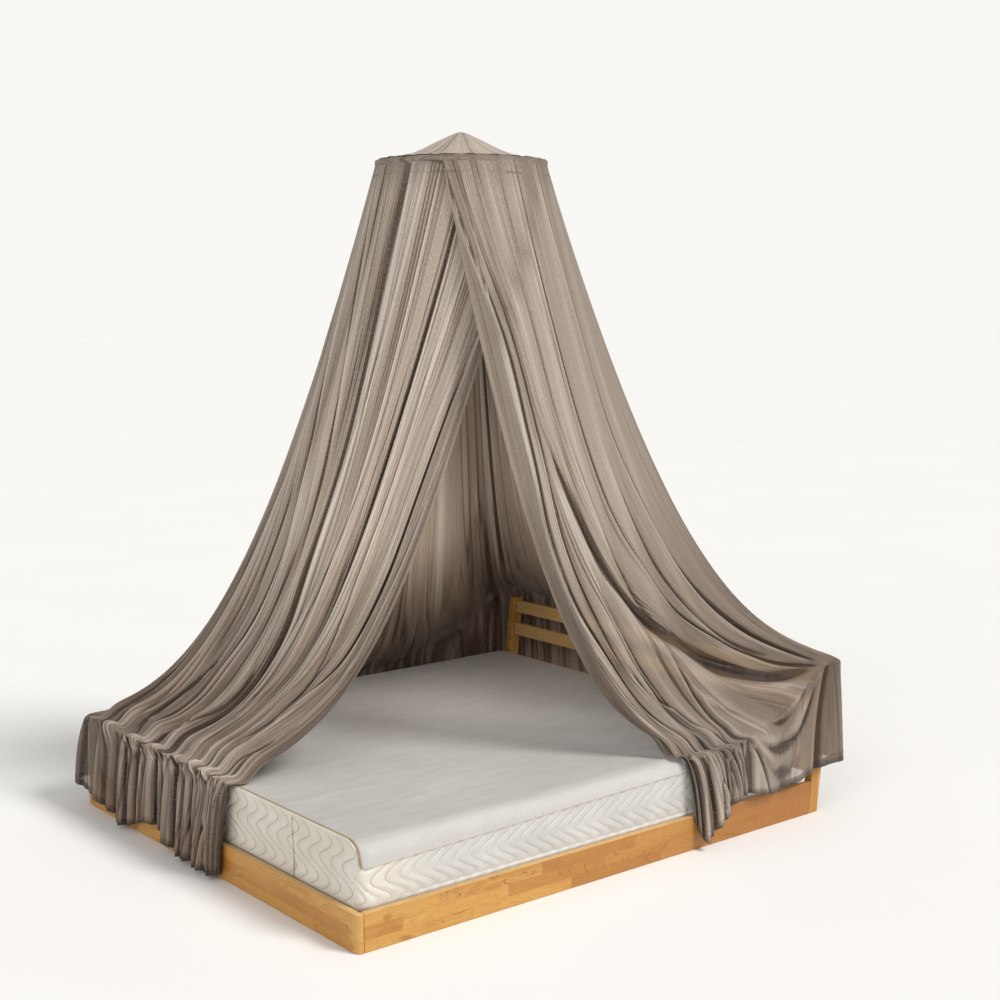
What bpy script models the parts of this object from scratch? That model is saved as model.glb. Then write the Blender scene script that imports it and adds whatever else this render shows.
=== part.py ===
"""Mosquito net canopy over a low wooden bed, at real size in metres, +Z up.

A round hoop hangs over the middle of the bed. A shallow cone of net roofs it, and two skirt panels fall
from it to the edges of the mattress and the headboard, bend over them and hang down outside. The panels
lap over each other at the front, where they part as a door over the near corner of the foot end.

The bed is laid out from its near foot corner: +X runs to the headboard, +Y across to the far side. The
last step moves everything, so that the origin is under the middle of the whole part, on the floor.
"""

import math

import bmesh
import bpy
import numpy as np
from mathutils import Vector

# Bed frame
BED_LENGTH = 2.13
BED_WIDTH = 1.86
RAIL_HEIGHT = 0.125
RAIL_THICK = 0.025
RAIL_ROUND = 0.004
RAIL_CORNER = 0.020  # radius of the foot rail's two outer corners, seen from above
CORNER_STEPS = 5
GAP = 0.0003  # between pieces that touch
PLATFORM_TOP = 0.108
PLATFORM_THICK = 0.018
PLATFORM_PLAY = 0.003  # between the platform's head end and the posts
LEDGE = 0.030
LEDGE_SHORT = 0.010  # how far the ledges stop before the posts

# Headboard
POST_DEEP = 0.053
POST_WIDE = 0.035
POST_HEIGHT = 0.560
POST_FOOT_X = 2.070  # front of the posts at the floor
HEAD_TILT = 0.112  # how far the headboard leans back for each metre of height
# lowest and highest point of each rail of the headboard
HEAD_RAILS = {
    "head_rail_top": (0.490, 0.545),
    "head_rail_middle": (0.385, 0.440),
    "head_rail_low": (0.150, 0.250),
}
HEAD_RAIL_THICK = 0.022

# Mattress
MATTRESS_LENGTH = 2.000
MATTRESS_WIDTH = 1.800
MATTRESS_TOP = 0.332
MATTRESS_ROUND = 0.022
MATTRESS_CORNER = 0.045  # radius of its four corners, seen from above
MATTRESS_GAP = 0.030  # from the outside of the rails to the mattress

# Hoop and roof
HOOP_X = 1.1025
HOOP_Y = 0.9005
HOOP_Z = 2.444
HOOP_RADIUS = 0.3085
HOOP_WIRE = 0.0045
NET_RADIUS = 0.3155  # of the skirt where it hangs off the hoop
NET_THICK = 0.002
LAP = 0.0070  # how far the front lap stands off the net behind it, at the hoop
LAP_FADE = [(0.36, 1.0), (0.50, 0.0)]  # place along the right panel, share of that lap
ROOF_RADIUS = NET_RADIUS + 0.0015
ROOF_RIM = 0.006  # height of the roof's rim over the middle of the hoop
HEADING = 0.022  # height of the skirt's heading, which hangs straight down round the hoop
# the roof's profile, from the rim to the tip: share of the radius, height over the rim
ROOF_PROFILE = [(1.000, 0.000), (0.860, 0.003), (0.740, 0.010), (0.600, 0.021), (0.450, 0.041),
                (0.260, 0.0715), (0.100, 0.0955), (0.030, 0.1040)]
ROOF_TIP = 0.1050

# The fall of the net from the hoop to where it lands: how far out it has come at two control points of
# one curve, and how far down, as shares of the whole
BULGE_OUT_1 = 0.50
BULGE_DOWN_1 = 0.965
BULGE_OUT_2 = 0.77
BULGE_DOWN_2 = 0.93
# Just inside the mattress's edge the net sags on to it: how far, where on the curve, and over what stretch
REST_SAG = 0.033
REST_AT = 0.935
REST_HALF = 0.045
REST_Z = MATTRESS_TOP + GAP + NET_THICK / 2  # lowest middle of the net where it lies on the mattress
NO_REST_Z = 0.040  # where it lands this far over the mattress's top, it no longer reaches down to it

# The drop from where the net bends over the bed to its hem: its bend stands over a point that lies this
# share of the way out to the hem, and this far under the landing
BEND_OUT = 0.75
BEND_DROP = 0.010

# Key lines of each panel, from its front edge to the seam at the far post of the headboard.
# at: place along the panel; hoop: direction on the hoop in degrees; land: where it bends over the bed;
# hem: where it ends; ease: how far it eases out below the hoop, over or under the other panel's lap
#     at   hoop   land x  land y  land z   hem x   hem y  hem z   ease
LEFT_LINES = [
    (0.000, 291.4, 0.0100,  0.7550, 0.343, -0.0320,  0.7850, 0.030, -0.020),
    (0.060, 280.0, 0.0100,  0.8400, 0.343, -0.0340,  0.8500, 0.014, -0.020),
    (0.140, 262.0, 0.0100,  0.9600, 0.343, -0.0320,  0.9600, 0.020, -0.016),
    (0.240, 235.0, 0.0100,  1.1200, 0.343, -0.0320,  1.1200, 0.030, -0.006),
    (0.330, 210.0, 0.0100,  1.3000, 0.343, -0.0300,  1.2900, 0.080,  0.000),
    (0.420, 185.0, 0.0100,  1.5000, 0.343, -0.0340,  1.5000, 0.020,  0.000),
    (0.510, 160.0, 0.0080,  1.7200, 0.352, -0.0360,  1.7300, 0.070,  0.000),
    (0.560, 146.0, 0.0100,  1.8380, 0.356, -0.0340,  1.8950, 0.090,  0.000),
    (0.600, 136.0, 0.1200,  1.8520, 0.352,  0.0800,  1.9050, 0.100,  0.000),
    (0.700, 112.0, 0.5600,  1.8500, 0.343,  0.5500,  1.8920, 0.070,  0.000),
    (0.800,  90.0, 1.0400,  1.8500, 0.343,  1.0400,  1.8920, 0.060,  0.000),
    (0.900,  66.0, 1.5600,  1.8520, 0.365,  1.5700,  1.8940, 0.080,  0.000),
    (0.950,  54.0, 1.8600,  1.8600, 0.450,  1.8800,  1.8960, 0.120,  0.000),
    (0.985,  45.5, 2.1100,  1.8840, 0.580,  2.1200,  1.9020, 0.150,  0.000),
    (1.000,  43.2, 2.1960,  1.8890, 0.584,  2.2400,  1.9080, 0.160,  0.000),
]
RIGHT_LINES = [
    (0.000, 220.7, 1.4000,  0.0600, 0.352,  1.4400, -0.0120, 0.100,  0.045),
    (0.050, 232.0, 1.4300,  0.0060, 0.343,  1.4750, -0.0340, 0.030,  0.040),
    (0.140, 252.0, 1.5400,  0.0040, 0.343,  1.5900, -0.0320, 0.120,  0.030),
    (0.240, 272.0, 1.6800,  0.0020, 0.352,  1.7000, -0.0320, 0.160,  0.018),
    (0.320, 292.0, 1.8600,  0.0000, 0.405,  1.8600, -0.0320, 0.140,  0.006),
    (0.400, 307.0, 2.0100, -0.0100, 0.500,  2.0100, -0.0340, 0.170,  0.000),
    (0.450, 318.0, 2.1300, -0.0260, 0.580,  2.1700, -0.0360, 0.190,  0.000),
    (0.475, 322.0, 2.2040, -0.0220, 0.584,  2.2700, -0.0240, 0.185,  0.000),
    (0.510, 329.0, 2.2020,  0.0900, 0.584,  2.2900,  0.0800, 0.180,  0.000),
    (0.600, 346.0, 2.1920,  0.4600, 0.572,  2.2620,  0.4600, 0.170,  0.000),
    (0.740, 368.0, 2.1920,  0.9300, 0.570,  2.2620,  0.9300, 0.160,  0.000),
    (0.880, 388.0, 2.1920,  1.4200, 0.572,  2.2620,  1.4200, 0.170,  0.000),
    (0.960, 399.0, 2.1980,  1.7800, 0.580,  2.2620,  1.8000, 0.165,  0.000),
    (1.000, 402.9, 2.1975,  1.8875, 0.584,  2.2415,  1.9065, 0.160,  0.000),
]

# Main folds of each panel. at: place along it; half: half width; rise: how far the fold stands out
#    at     half   rise
LEFT_FOLDS = [
    (0.022, 0.012, -0.012),
    (0.052, 0.013, 0.011),
    (0.085, 0.013, -0.010),
    (0.120, 0.014, 0.013),
    (0.152, 0.012, -0.009),
    (0.190, 0.018, 0.012),
    (0.230, 0.013, -0.014),
    (0.264, 0.014, 0.010),
    (0.302, 0.013, -0.010),
    (0.340, 0.016, 0.013),
    (0.380, 0.013, -0.013),
    (0.417, 0.014, 0.009),
    (0.454, 0.013, -0.012),
    (0.494, 0.017, 0.012),
    (0.532, 0.013, -0.008),
    (0.604, 0.015, 0.009),
    (0.640, 0.014, -0.011),
    (0.682, 0.017, 0.014),
    (0.722, 0.014, -0.012),
    (0.758, 0.015, 0.010),
    (0.796, 0.014, -0.010),
    (0.838, 0.018, 0.013),
    (0.880, 0.014, -0.011),
    (0.918, 0.015, 0.010),
    (0.952, 0.012, -0.006),
]
RIGHT_FOLDS = [
    (0.020, 0.012, -0.008),
    (0.048, 0.012, 0.011),
    (0.080, 0.013, -0.011),
    (0.118, 0.015, 0.011),
    (0.158, 0.013, -0.012),
    (0.200, 0.017, 0.010),
    (0.245, 0.014, -0.009),
    (0.290, 0.018, 0.012),
    (0.335, 0.014, -0.010),
    (0.378, 0.016, 0.011),
    (0.420, 0.013, -0.006),
    (0.530, 0.014, -0.008),
    (0.570, 0.016, 0.012),
    (0.612, 0.014, -0.012),
    (0.652, 0.015, 0.009),
    (0.692, 0.014, -0.010),
    (0.736, 0.018, 0.013),
    (0.780, 0.014, -0.012),
    (0.820, 0.015, 0.010),
    (0.860, 0.014, -0.009),
    (0.902, 0.016, 0.011),
    (0.942, 0.013, -0.006),
]
# how much of a fold's rise shows at each share of the steps from the hoop to the hem
FOLD_STRENGTH = [(0.00, 0.06), (0.07, 0.10), (0.18, 0.45), (0.45, 1.30), (0.70, 1.10), (0.74, 0.75),
                 (1.00, 1.20)]
# how much of a line's ease shows at each share of those steps
EASE_STRENGTH = [(0.04, 0.0), (0.12, 0.7), (0.22, 1.0), (0.36, 0.8), (0.60, 0.0)]

PANEL_COLUMNS = 64
FALL_STEPS = 14
DROP_STEPS = 6


def clear_scene():
    for old in list(bpy.data.objects):
        bpy.data.objects.remove(old, do_unlink=True)


def collection(name):
    made = bpy.data.collections.new(name)
    bpy.context.scene.collection.children.link(made)
    return made


def material(name, colour, roughness, metallic=0.0):
    made = bpy.data.materials.new(name)
    made.use_nodes = True
    shader = made.node_tree.nodes["Principled BSDF"]
    shader.inputs["Base Color"].default_value = (*colour, 1.0)
    shader.inputs["Roughness"].default_value = roughness
    shader.inputs["Metallic"].default_value = metallic
    return made


def new_object(name, mesh, finish, group):
    made = bpy.data.objects.new(name, mesh)
    made.data.materials.append(finish)
    group.objects.link(made)
    return made


def add_bevel(piece, width, segments=2):
    bevel = piece.modifiers.new("rounded edges", "BEVEL")
    bevel.width = width
    bevel.segments = segments
    bevel.limit_method = "ANGLE"
    bevel.angle_limit = math.radians(40)
    return bevel


def round_corners(shape, radius, end):
    """Rounds the upright edges of a box that lie nearer to the foot of the bed than end."""
    upright = []
    for edge in shape.edges:
        first, second = (vert.co for vert in edge.verts)
        if abs(first.z - second.z) > radius and max(first.x, second.x) < end:
            upright.append(edge)
    bmesh.ops.bevel(shape, geom=upright, offset=radius, segments=CORNER_STEPS, profile=0.5, affect="EDGES")


def box(name, low, high, finish, group, lean=0.0, bevel=0.0, segments=2, corner=0.0, corners_end=BED_LENGTH):
    """A box between two corners, whose points lean towards +X by lean for each metre of height."""
    low, high = Vector(low), Vector(high)
    shape = bmesh.new()
    bmesh.ops.create_cube(shape, size=1.0)
    for vert in shape.verts:
        place = low + Vector(((vert.co[k] + 0.5) * (high[k] - low[k]) for k in range(3)))
        place.x += lean * place.z
        vert.co = place
    if corner:
        round_corners(shape, corner, corners_end)
    mesh = bpy.data.meshes.new(name)
    shape.to_mesh(mesh)
    shape.free()
    made = new_object(name, mesh, finish, group)
    if bevel:
        add_bevel(made, bevel, segments)
    return made


def rail(name, low, high, finish, group):
    """A side rail, whose head end is cut to the lean of the post that it meets."""
    made = box(name, low, high, finish, group)
    for vert in made.data.vertices:
        if vert.co.x > BED_LENGTH / 2:
            vert.co.x += HEAD_TILT * vert.co.z
    add_bevel(made, RAIL_ROUND)
    return made


def bed_frame(wood, board, group):
    inner = RAIL_THICK + GAP
    box("foot_rail", (0, 0, 0), (RAIL_THICK, BED_WIDTH, RAIL_HEIGHT), wood, group, bevel=RAIL_ROUND,
        corner=RAIL_CORNER, corners_end=RAIL_THICK / 2)
    side_end = POST_FOOT_X - GAP
    sides = {"side_rail_near": 0.0, "side_rail_far": BED_WIDTH - RAIL_THICK}
    for name, y in sides.items():
        rail(name, (inner, y, 0), (side_end, y + RAIL_THICK, RAIL_HEIGHT), wood, group)
    ledge_top = PLATFORM_TOP - PLATFORM_THICK - GAP
    ledges = {"ledge_near": inner, "ledge_far": BED_WIDTH - inner - LEDGE}
    for name, y in ledges.items():
        box(name, (inner, y, ledge_top - LEDGE), (side_end - LEDGE_SHORT, y + LEDGE, ledge_top), wood, group)
    far_corner = (side_end - PLATFORM_PLAY, BED_WIDTH - inner, PLATFORM_TOP)
    box("platform", (inner, inner, ledge_top + GAP), far_corner, board, group)


def headboard(wood, group):
    posts = {"head_post_near": 0.0, "head_post_far": BED_WIDTH - POST_WIDE}
    for name, y in posts.items():
        low = (POST_FOOT_X, y, 0)
        high = (POST_FOOT_X + POST_DEEP, y + POST_WIDE, POST_HEIGHT)
        box(name, low, high, wood, group, lean=HEAD_TILT, bevel=RAIL_ROUND)
    front = POST_FOOT_X + (POST_DEEP - HEAD_RAIL_THICK) / 2
    for name, (low_z, high_z) in HEAD_RAILS.items():
        low = (front, POST_WIDE + GAP, low_z)
        high = (front + HEAD_RAIL_THICK, BED_WIDTH - POST_WIDE - GAP, high_z)
        box(name, low, high, wood, group, lean=HEAD_TILT, bevel=RAIL_ROUND)


def mattress(ticking, group):
    low = Vector((MATTRESS_GAP, MATTRESS_GAP, PLATFORM_TOP + GAP))
    size = Vector((MATTRESS_LENGTH, MATTRESS_WIDTH, MATTRESS_TOP - low.z))
    box("mattress", low, low + size, ticking, group, bevel=MATTRESS_ROUND, segments=3, corner=MATTRESS_CORNER)


def hoop(wire, group):
    bpy.ops.mesh.primitive_torus_add(major_radius=HOOP_RADIUS, minor_radius=HOOP_WIRE, major_segments=48,
                                     minor_segments=8, location=(HOOP_X, HOOP_Y, HOOP_Z))
    made = bpy.context.object
    made.name = "hoop"
    made.data.materials.append(wire)
    for old in list(made.users_collection):
        old.objects.unlink(made)
    group.objects.link(made)


def roof(net, group):
    """The shallow cone over the hoop, turned from its profile."""
    shape = bmesh.new()
    points = [shape.verts.new((share * ROOF_RADIUS, 0, height)) for share, height in ROOF_PROFILE]
    points.append(shape.verts.new((0, 0, ROOF_TIP)))
    for above, below in zip(points[1:], points[:-1]):
        shape.edges.new((above, below))
    mesh = bpy.data.meshes.new("roof")
    shape.to_mesh(mesh)
    shape.free()
    made = new_object("roof", mesh, net, group)
    made.location = (HOOP_X, HOOP_Y, HOOP_Z + ROOF_RIM + NET_THICK / 2)
    turn = made.modifiers.new("turned", "SCREW")
    turn.steps = turn.render_steps = 48
    turn.use_merge_vertices = True
    turn.merge_threshold = 0.0001
    turn.use_normal_calculate = True
    wall = made.modifiers.new("cloth", "SOLIDIFY")
    wall.thickness = NET_THICK
    wall.offset = 0
    return made


def between(lines, at):
    """The rows of a table of key lines at the places given, along smooth curves through the rows."""
    table = np.array(lines)
    place, values = table[:, 0], table[:, 1:]
    slope = np.gradient(values, place, axis=0)
    row = np.clip(np.searchsorted(place, at, side="right") - 1, 0, len(place) - 2)
    span = (place[row + 1] - place[row])[:, None]
    t = (at - place[row])[:, None] / span
    start = (2 * t**3 - 3 * t**2 + 1) * values[row] + (t**3 - 2 * t**2 + t) * span * slope[row]
    return start + (3 * t**2 - 2 * t**3) * values[row + 1] + (t**3 - t**2) * span * slope[row + 1]


def fall_line(line, radius):
    """The points of one line of net, from the hoop to where it lands and on to the hem."""
    turn = math.radians(line[0])
    land, hem = line[1:4], line[4:7]
    top_z = HOOP_Z + ROOF_RIM - GAP
    heading = np.array([HOOP_X + radius * math.cos(turn), HOOP_Y + radius * math.sin(turn), top_z])
    top = heading - (0, 0, HEADING)
    t = np.linspace(0, 1, FALL_STEPS + 1)[:, None]
    first = 3 * (1 - t) ** 2 * t
    second = 3 * (1 - t) * t**2
    out = first * BULGE_OUT_1 + second * BULGE_OUT_2 + t**3
    down = first * BULGE_DOWN_1 + second * BULGE_DOWN_2 + t**3
    fall = top + (land - top) * np.hstack([out, out, down])
    sag = np.interp(land[2], [MATTRESS_TOP + NO_REST_Z / 2, MATTRESS_TOP + NO_REST_Z], [REST_SAG, 0])
    fall[:, 2] -= sag * np.exp(-(((t[:, 0] - REST_AT) / REST_HALF) ** 2))
    t = np.linspace(0, 1, DROP_STEPS + 1)[1:, None]
    over = land + BEND_OUT * (np.array([hem[0], hem[1], land[2] - BEND_DROP]) - land)
    drop = (1 - t) ** 2 * land + 2 * (1 - t) * t * over + t**2 * hem
    return np.vstack([heading, fall, drop])


def fold_height(folds, at):
    """How far the folds stand out at each place along a panel."""
    return sum(rise * np.exp(-(((at - place) / half) ** 2)) for place, half, rise in folds)


def panel(name, lines, folds, lap, outward, net, group):
    """One skirt panel: a grid of fall lines with its folds, given the thickness of the cloth."""
    at = np.linspace(0, 1, PANEL_COLUMNS + 1)
    radius = NET_RADIUS + lap * np.interp(at, *zip(*LAP_FADE))
    rows = between(lines, at)
    grid = np.array([fall_line(*pair) for pair in zip(rows, radius)])
    across = np.gradient(grid, axis=0)
    along = np.gradient(grid, axis=1)
    normal = np.cross(across, along) * outward
    normal /= np.linalg.norm(normal, axis=2, keepdims=True)
    steps = grid.shape[1]
    share = np.linspace(0, 1, steps)
    strength = np.interp(share, *zip(*FOLD_STRENGTH))
    ease = np.interp(share, *zip(*EASE_STRENGTH))
    out = fold_height(folds, at)[:, None] * strength + rows[:, 7:8] * ease
    grid = grid + normal * out[:, :, None]
    lying = grid[:, :FALL_STEPS + 2, 2]
    np.maximum(lying, REST_Z, out=lying)
    corners = [tuple(point) for column in grid for point in column]
    faces = []
    for column in range(PANEL_COLUMNS):
        for step in range(steps - 1):
            first = column * steps + step
            face = (first, first + 1, first + steps + 1, first + steps)
            faces.append(face if outward < 0 else face[::-1])
    mesh = bpy.data.meshes.new(name)
    mesh.from_pydata(corners, [], faces)
    made = new_object(name, mesh, net, group)
    wall = made.modifiers.new("cloth", "SOLIDIFY")
    wall.thickness = NET_THICK
    wall.offset = 0
    made.data.shade_smooth()
    return made


def centre_on_floor(group):
    """Moves every piece, so that the origin is under the middle of the whole part's box."""
    bpy.context.view_layer.update()
    graph = bpy.context.evaluated_depsgraph_get()
    points = []
    for piece in group.objects:
        shown = piece.evaluated_get(graph)
        mesh = shown.to_mesh()
        points += [shown.matrix_world @ vert.co for vert in mesh.vertices]
        shown.to_mesh_clear()
    middle = [(min(p[k] for p in points) + max(p[k] for p in points)) / 2 for k in range(2)]
    for piece in group.objects:
        piece.location.x -= middle[0]
        piece.location.y -= middle[1]


def main():
    clear_scene()
    group = collection("net_canopy_over_bed")
    wood = material("oak", (0.58, 0.33, 0.12), 0.45)
    board = material("plywood", (0.66, 0.52, 0.36), 0.7)
    ticking = material("mattress_cloth", (0.80, 0.78, 0.73), 0.85)
    wire = material("hoop_wire", (0.45, 0.40, 0.34), 0.5)
    net = material("net", (0.36, 0.31, 0.26), 0.6)
    bed_frame(wood, board, group)
    headboard(wood, group)
    mattress(ticking, group)
    hoop(wire, group)
    roof(net, group)
    panel("left_panel", LEFT_LINES, LEFT_FOLDS, 0.0, 1, net, group)
    panel("right_panel", RIGHT_LINES, RIGHT_FOLDS, LAP, -1, net, group)
    centre_on_floor(group)


main()
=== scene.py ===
"""The looks of the mosquito net canopy over its low wooden bed.

The net is drawn out in the bed's own frame: its origin is the near foot corner of the bed frame on the
floor, +X runs to the headboard and +Y to the far side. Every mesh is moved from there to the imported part's
place by CORNER.
"""

import math

import bmesh
import bpy
import numpy as np
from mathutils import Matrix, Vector


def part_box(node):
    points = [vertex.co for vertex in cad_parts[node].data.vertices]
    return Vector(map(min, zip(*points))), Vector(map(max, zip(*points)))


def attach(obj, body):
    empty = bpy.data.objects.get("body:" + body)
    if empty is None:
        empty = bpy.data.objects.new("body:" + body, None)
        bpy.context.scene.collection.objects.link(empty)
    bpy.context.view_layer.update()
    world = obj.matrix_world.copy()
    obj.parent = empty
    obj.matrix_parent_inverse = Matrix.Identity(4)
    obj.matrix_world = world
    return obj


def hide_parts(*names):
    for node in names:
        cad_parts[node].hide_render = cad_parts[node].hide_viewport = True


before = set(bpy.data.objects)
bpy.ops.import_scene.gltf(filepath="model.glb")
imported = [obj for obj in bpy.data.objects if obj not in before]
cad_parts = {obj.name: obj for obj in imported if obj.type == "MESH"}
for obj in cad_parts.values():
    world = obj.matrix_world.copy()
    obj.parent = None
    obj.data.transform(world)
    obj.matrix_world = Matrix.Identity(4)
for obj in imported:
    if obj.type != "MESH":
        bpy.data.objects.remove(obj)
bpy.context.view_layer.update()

CORNER = np.array(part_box("foot_rail")[0])  # near foot corner of the bed frame, on the floor
MM = 0.001


def node_size(node):
    """A node's lowest and highest corner in the bed's own frame."""
    low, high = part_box(node)
    return np.array(low) - CORNER, np.array(high) - CORNER


MATTRESS_LOW, MATTRESS_HIGH = node_size("mattress")
RAIL_HIGH = node_size("foot_rail")[1][2]
BED_WIDTH = node_size("foot_rail")[1][1]
POST_LOW = node_size("head_post_near")[0]
HOOP_LOW, HOOP_HIGH = node_size("hoop")
HOOP = (HOOP_LOW + HOOP_HIGH) / 2

# ---- the net: how it hangs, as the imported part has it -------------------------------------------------

NET_RADIUS = 0.3155  # of the skirt round the hoop
LAP = 0.0070  # how far the front lap stands off the net behind it, at the hoop
LAP_FADE = [(0.36, 1.0), (0.50, 0.0)]  # at, and the share of the lap that is left there
ROOF_RADIUS = NET_RADIUS + 0.0015
ROOF_RIM = 0.006  # height of the roof's rim over the middle of the hoop
HEADING = 0.022  # height of the heading, which hangs straight down round the hoop
GAP = 0.0003  # between the heading and the roof's rim
# share of the roof's radius, and the roof's height over its rim there
ROOF_PROFILE = [(1.000, 0.000), (0.860, 0.003), (0.740, 0.010), (0.600, 0.021), (0.450, 0.041),
                (0.260, 0.0715), (0.100, 0.0955), (0.030, 0.1040), (0.000, 0.1050)]
# the two handles of the fall's curve, as shares of its way out and of its way down
BULGE_OUT_1, BULGE_DOWN_1 = 0.50, 0.965
BULGE_OUT_2, BULGE_DOWN_2 = 0.77, 0.93
# how far the net sags just before the edge of the mattress, where down the net, and over what half length
REST_SAG, REST_AT, REST_HALF = 0.033, 0.935, 0.045
REST_Z = MATTRESS_HIGH[2] + 0.0013  # lowest the net comes where it lies on the mattress
NO_REST_Z = 0.040  # height over the mattress from which a landing place takes no sag
REST_FADE = (0.57, 0.62)  # at, between which the sag fades out round the foot's far corner
# at, and how far out the net bends over the edge of the bed, as a share of the way from there to its hem
BEND_OUT = [(0.0, 0.75), (1.0, 0.75)]
POST_BEND_OUT = [(0.0, 0.75), (0.43, 0.75), (0.47, 0.30), (0.60, 0.30), (0.70, 0.50), (1.0, 0.50)]
BEND_DROP = 0.010  # how far the handle of that bend lies below the landing place
BEND_FROM, BEND_TO = 0.84, 1.42  # the stretch down the net over which it turns over the bed's edge
TOP_RADIUS = 0.3020  # of the skirt's upper edge, which is drawn in over the hoop
TOP_LIFT = 0.0012  # how far that edge is lifted
TOP_LAP, LAP_LIFT = 0.10, 0.15  # shares of the lap by which the front lap stands off there and is lifted
DRAWN_IN, LIFTED = (0.78, 1.0), (0.6, 0.9)  # up the heading, between which it is drawn in and lifted
FALL_STEPS, DROP_STEPS = 14, 6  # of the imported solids, to which the strengths of the folds refer
# Each line down a panel: at, degrees round the hoop, where it lands on the edge of the bed, where its hem
# hangs, and how far it eases out of the plain fall on its way.
#     at   hoop   land x  land y  land z   hem x   hem y  hem z   ease
LEFT_LINES = [
    (0.000, 291.4, 0.0100,  0.7550, 0.343, -0.0320,  0.7850, 0.030, -0.020),
    (0.060, 280.0, 0.0100,  0.8400, 0.343, -0.0340,  0.8500, 0.014, -0.020),
    (0.140, 262.0, 0.0100,  0.9600, 0.343, -0.0320,  0.9600, 0.020, -0.016),
    (0.240, 235.0, 0.0100,  1.1200, 0.343, -0.0320,  1.1200, 0.030, -0.006),
    (0.330, 210.0, 0.0100,  1.3000, 0.343, -0.0300,  1.2900, 0.080,  0.000),
    (0.420, 185.0, 0.0100,  1.5000, 0.343, -0.0340,  1.5000, 0.020,  0.000),
    (0.510, 160.0, 0.0080,  1.7200, 0.352, -0.0360,  1.7300, 0.070,  0.000),
    (0.560, 146.0, 0.0100,  1.8380, 0.356, -0.0340,  1.8950, 0.090,  0.000),
    (0.600, 136.0, 0.1200,  1.8520, 0.352,  0.0800,  1.9050, 0.100,  0.000),
    (0.700, 112.0, 0.5600,  1.8500, 0.343,  0.5500,  1.8920, 0.070,  0.000),
    (0.800,  90.0, 1.0400,  1.8500, 0.343,  1.0400,  1.8920, 0.060,  0.000),
    (0.900,  66.0, 1.5600,  1.8520, 0.365,  1.5700,  1.8940, 0.080,  0.000),
    (0.950,  54.0, 1.8600,  1.8600, 0.450,  1.8800,  1.8960, 0.120,  0.000),
    (0.985,  45.5, 2.1100,  1.8840, 0.580,  2.1200,  1.9020, 0.150,  0.000),
    (1.000,  43.2, 2.1960,  1.8890, 0.584,  2.2400,  1.9080, 0.160,  0.000),
]
RIGHT_LINES = [
    (0.000, 220.7, 1.4000,  0.0600, 0.352,  1.4400, -0.0120, 0.100,  0.045),
    (0.050, 232.0, 1.4300,  0.0060, 0.343,  1.4750, -0.0340, 0.030,  0.040),
    (0.140, 252.0, 1.5400,  0.0040, 0.343,  1.5900, -0.0320, 0.120,  0.030),
    (0.240, 272.0, 1.6800,  0.0020, 0.352,  1.7000, -0.0320, 0.160,  0.018),
    (0.320, 292.0, 1.8600,  0.0000, 0.405,  1.8600, -0.0320, 0.140,  0.006),
    (0.400, 307.0, 2.0100, -0.0100, 0.500,  2.0100, -0.0340, 0.170,  0.000),
    (0.450, 318.0, 2.1300, -0.0260, 0.580,  2.1500, -0.0360, 0.190,  0.000),
    (0.475, 322.0, 2.1980, -0.0220, 0.584,  2.2420, -0.0240, 0.185,  0.000),
    (0.510, 329.0, 2.2000,  0.0900, 0.584,  2.2560,  0.0800, 0.180,  0.000),
    (0.600, 346.0, 2.1920,  0.4600, 0.572,  2.2500,  0.4600, 0.170,  0.000),
    (0.740, 368.0, 2.1920,  0.9300, 0.570,  2.2620,  0.9300, 0.160,  0.000),
    (0.880, 388.0, 2.1920,  1.4200, 0.572,  2.2620,  1.4200, 0.170,  0.000),
    (0.960, 399.0, 2.1980,  1.7800, 0.580,  2.2620,  1.8000, 0.165,  0.000),
    (1.000, 402.9, 2.1975,  1.8875, 0.584,  2.2415,  1.9065, 0.160,  0.000),
]
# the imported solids' main folds: their place, half width and rise
#    at     half   rise
LEFT_FOLDS = [
    (0.022, 0.012, -0.012), (0.052, 0.013, 0.011), (0.085, 0.013, -0.010), (0.120, 0.014, 0.013),
    (0.152, 0.012, -0.009), (0.190, 0.018, 0.012), (0.230, 0.013, -0.014), (0.264, 0.014, 0.010),
    (0.302, 0.013, -0.010), (0.340, 0.016, 0.013), (0.380, 0.013, -0.013), (0.417, 0.014, 0.009),
    (0.454, 0.013, -0.012), (0.494, 0.017, 0.012), (0.532, 0.013, -0.008), (0.604, 0.015, 0.009),
    (0.640, 0.014, -0.011), (0.682, 0.017, 0.014), (0.722, 0.014, -0.012), (0.758, 0.015, 0.010),
    (0.796, 0.014, -0.010), (0.838, 0.018, 0.013), (0.880, 0.014, -0.011), (0.918, 0.015, 0.010),
    (0.952, 0.012, -0.006),
]
RIGHT_FOLDS = [
    (0.020, 0.012, -0.008), (0.048, 0.012, 0.011), (0.080, 0.013, -0.011), (0.118, 0.015, 0.011),
    (0.158, 0.013, -0.012), (0.200, 0.017, 0.010), (0.245, 0.014, -0.009), (0.290, 0.018, 0.012),
    (0.335, 0.014, -0.010), (0.378, 0.016, 0.011), (0.420, 0.013, -0.006), (0.530, 0.014, -0.008),
    (0.570, 0.016, 0.012), (0.612, 0.014, -0.012), (0.652, 0.015, 0.009), (0.692, 0.014, -0.010),
    (0.736, 0.018, 0.013), (0.780, 0.014, -0.012), (0.820, 0.015, 0.010), (0.860, 0.014, -0.009),
    (0.902, 0.016, 0.011), (0.942, 0.013, -0.006),
]
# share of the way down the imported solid's steps, and how strong its main folds and its ease are there
FOLD_STRENGTH = [(0.00, 0.06), (0.07, 0.10), (0.18, 0.45), (0.45, 1.30), (0.70, 1.10), (0.74, 0.75),
                 (1.00, 1.20)]
EASE_STRENGTH = [(0.04, 0.0), (0.12, 0.7), (0.22, 1.0), (0.36, 0.8), (0.60, 0.0)]

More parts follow.
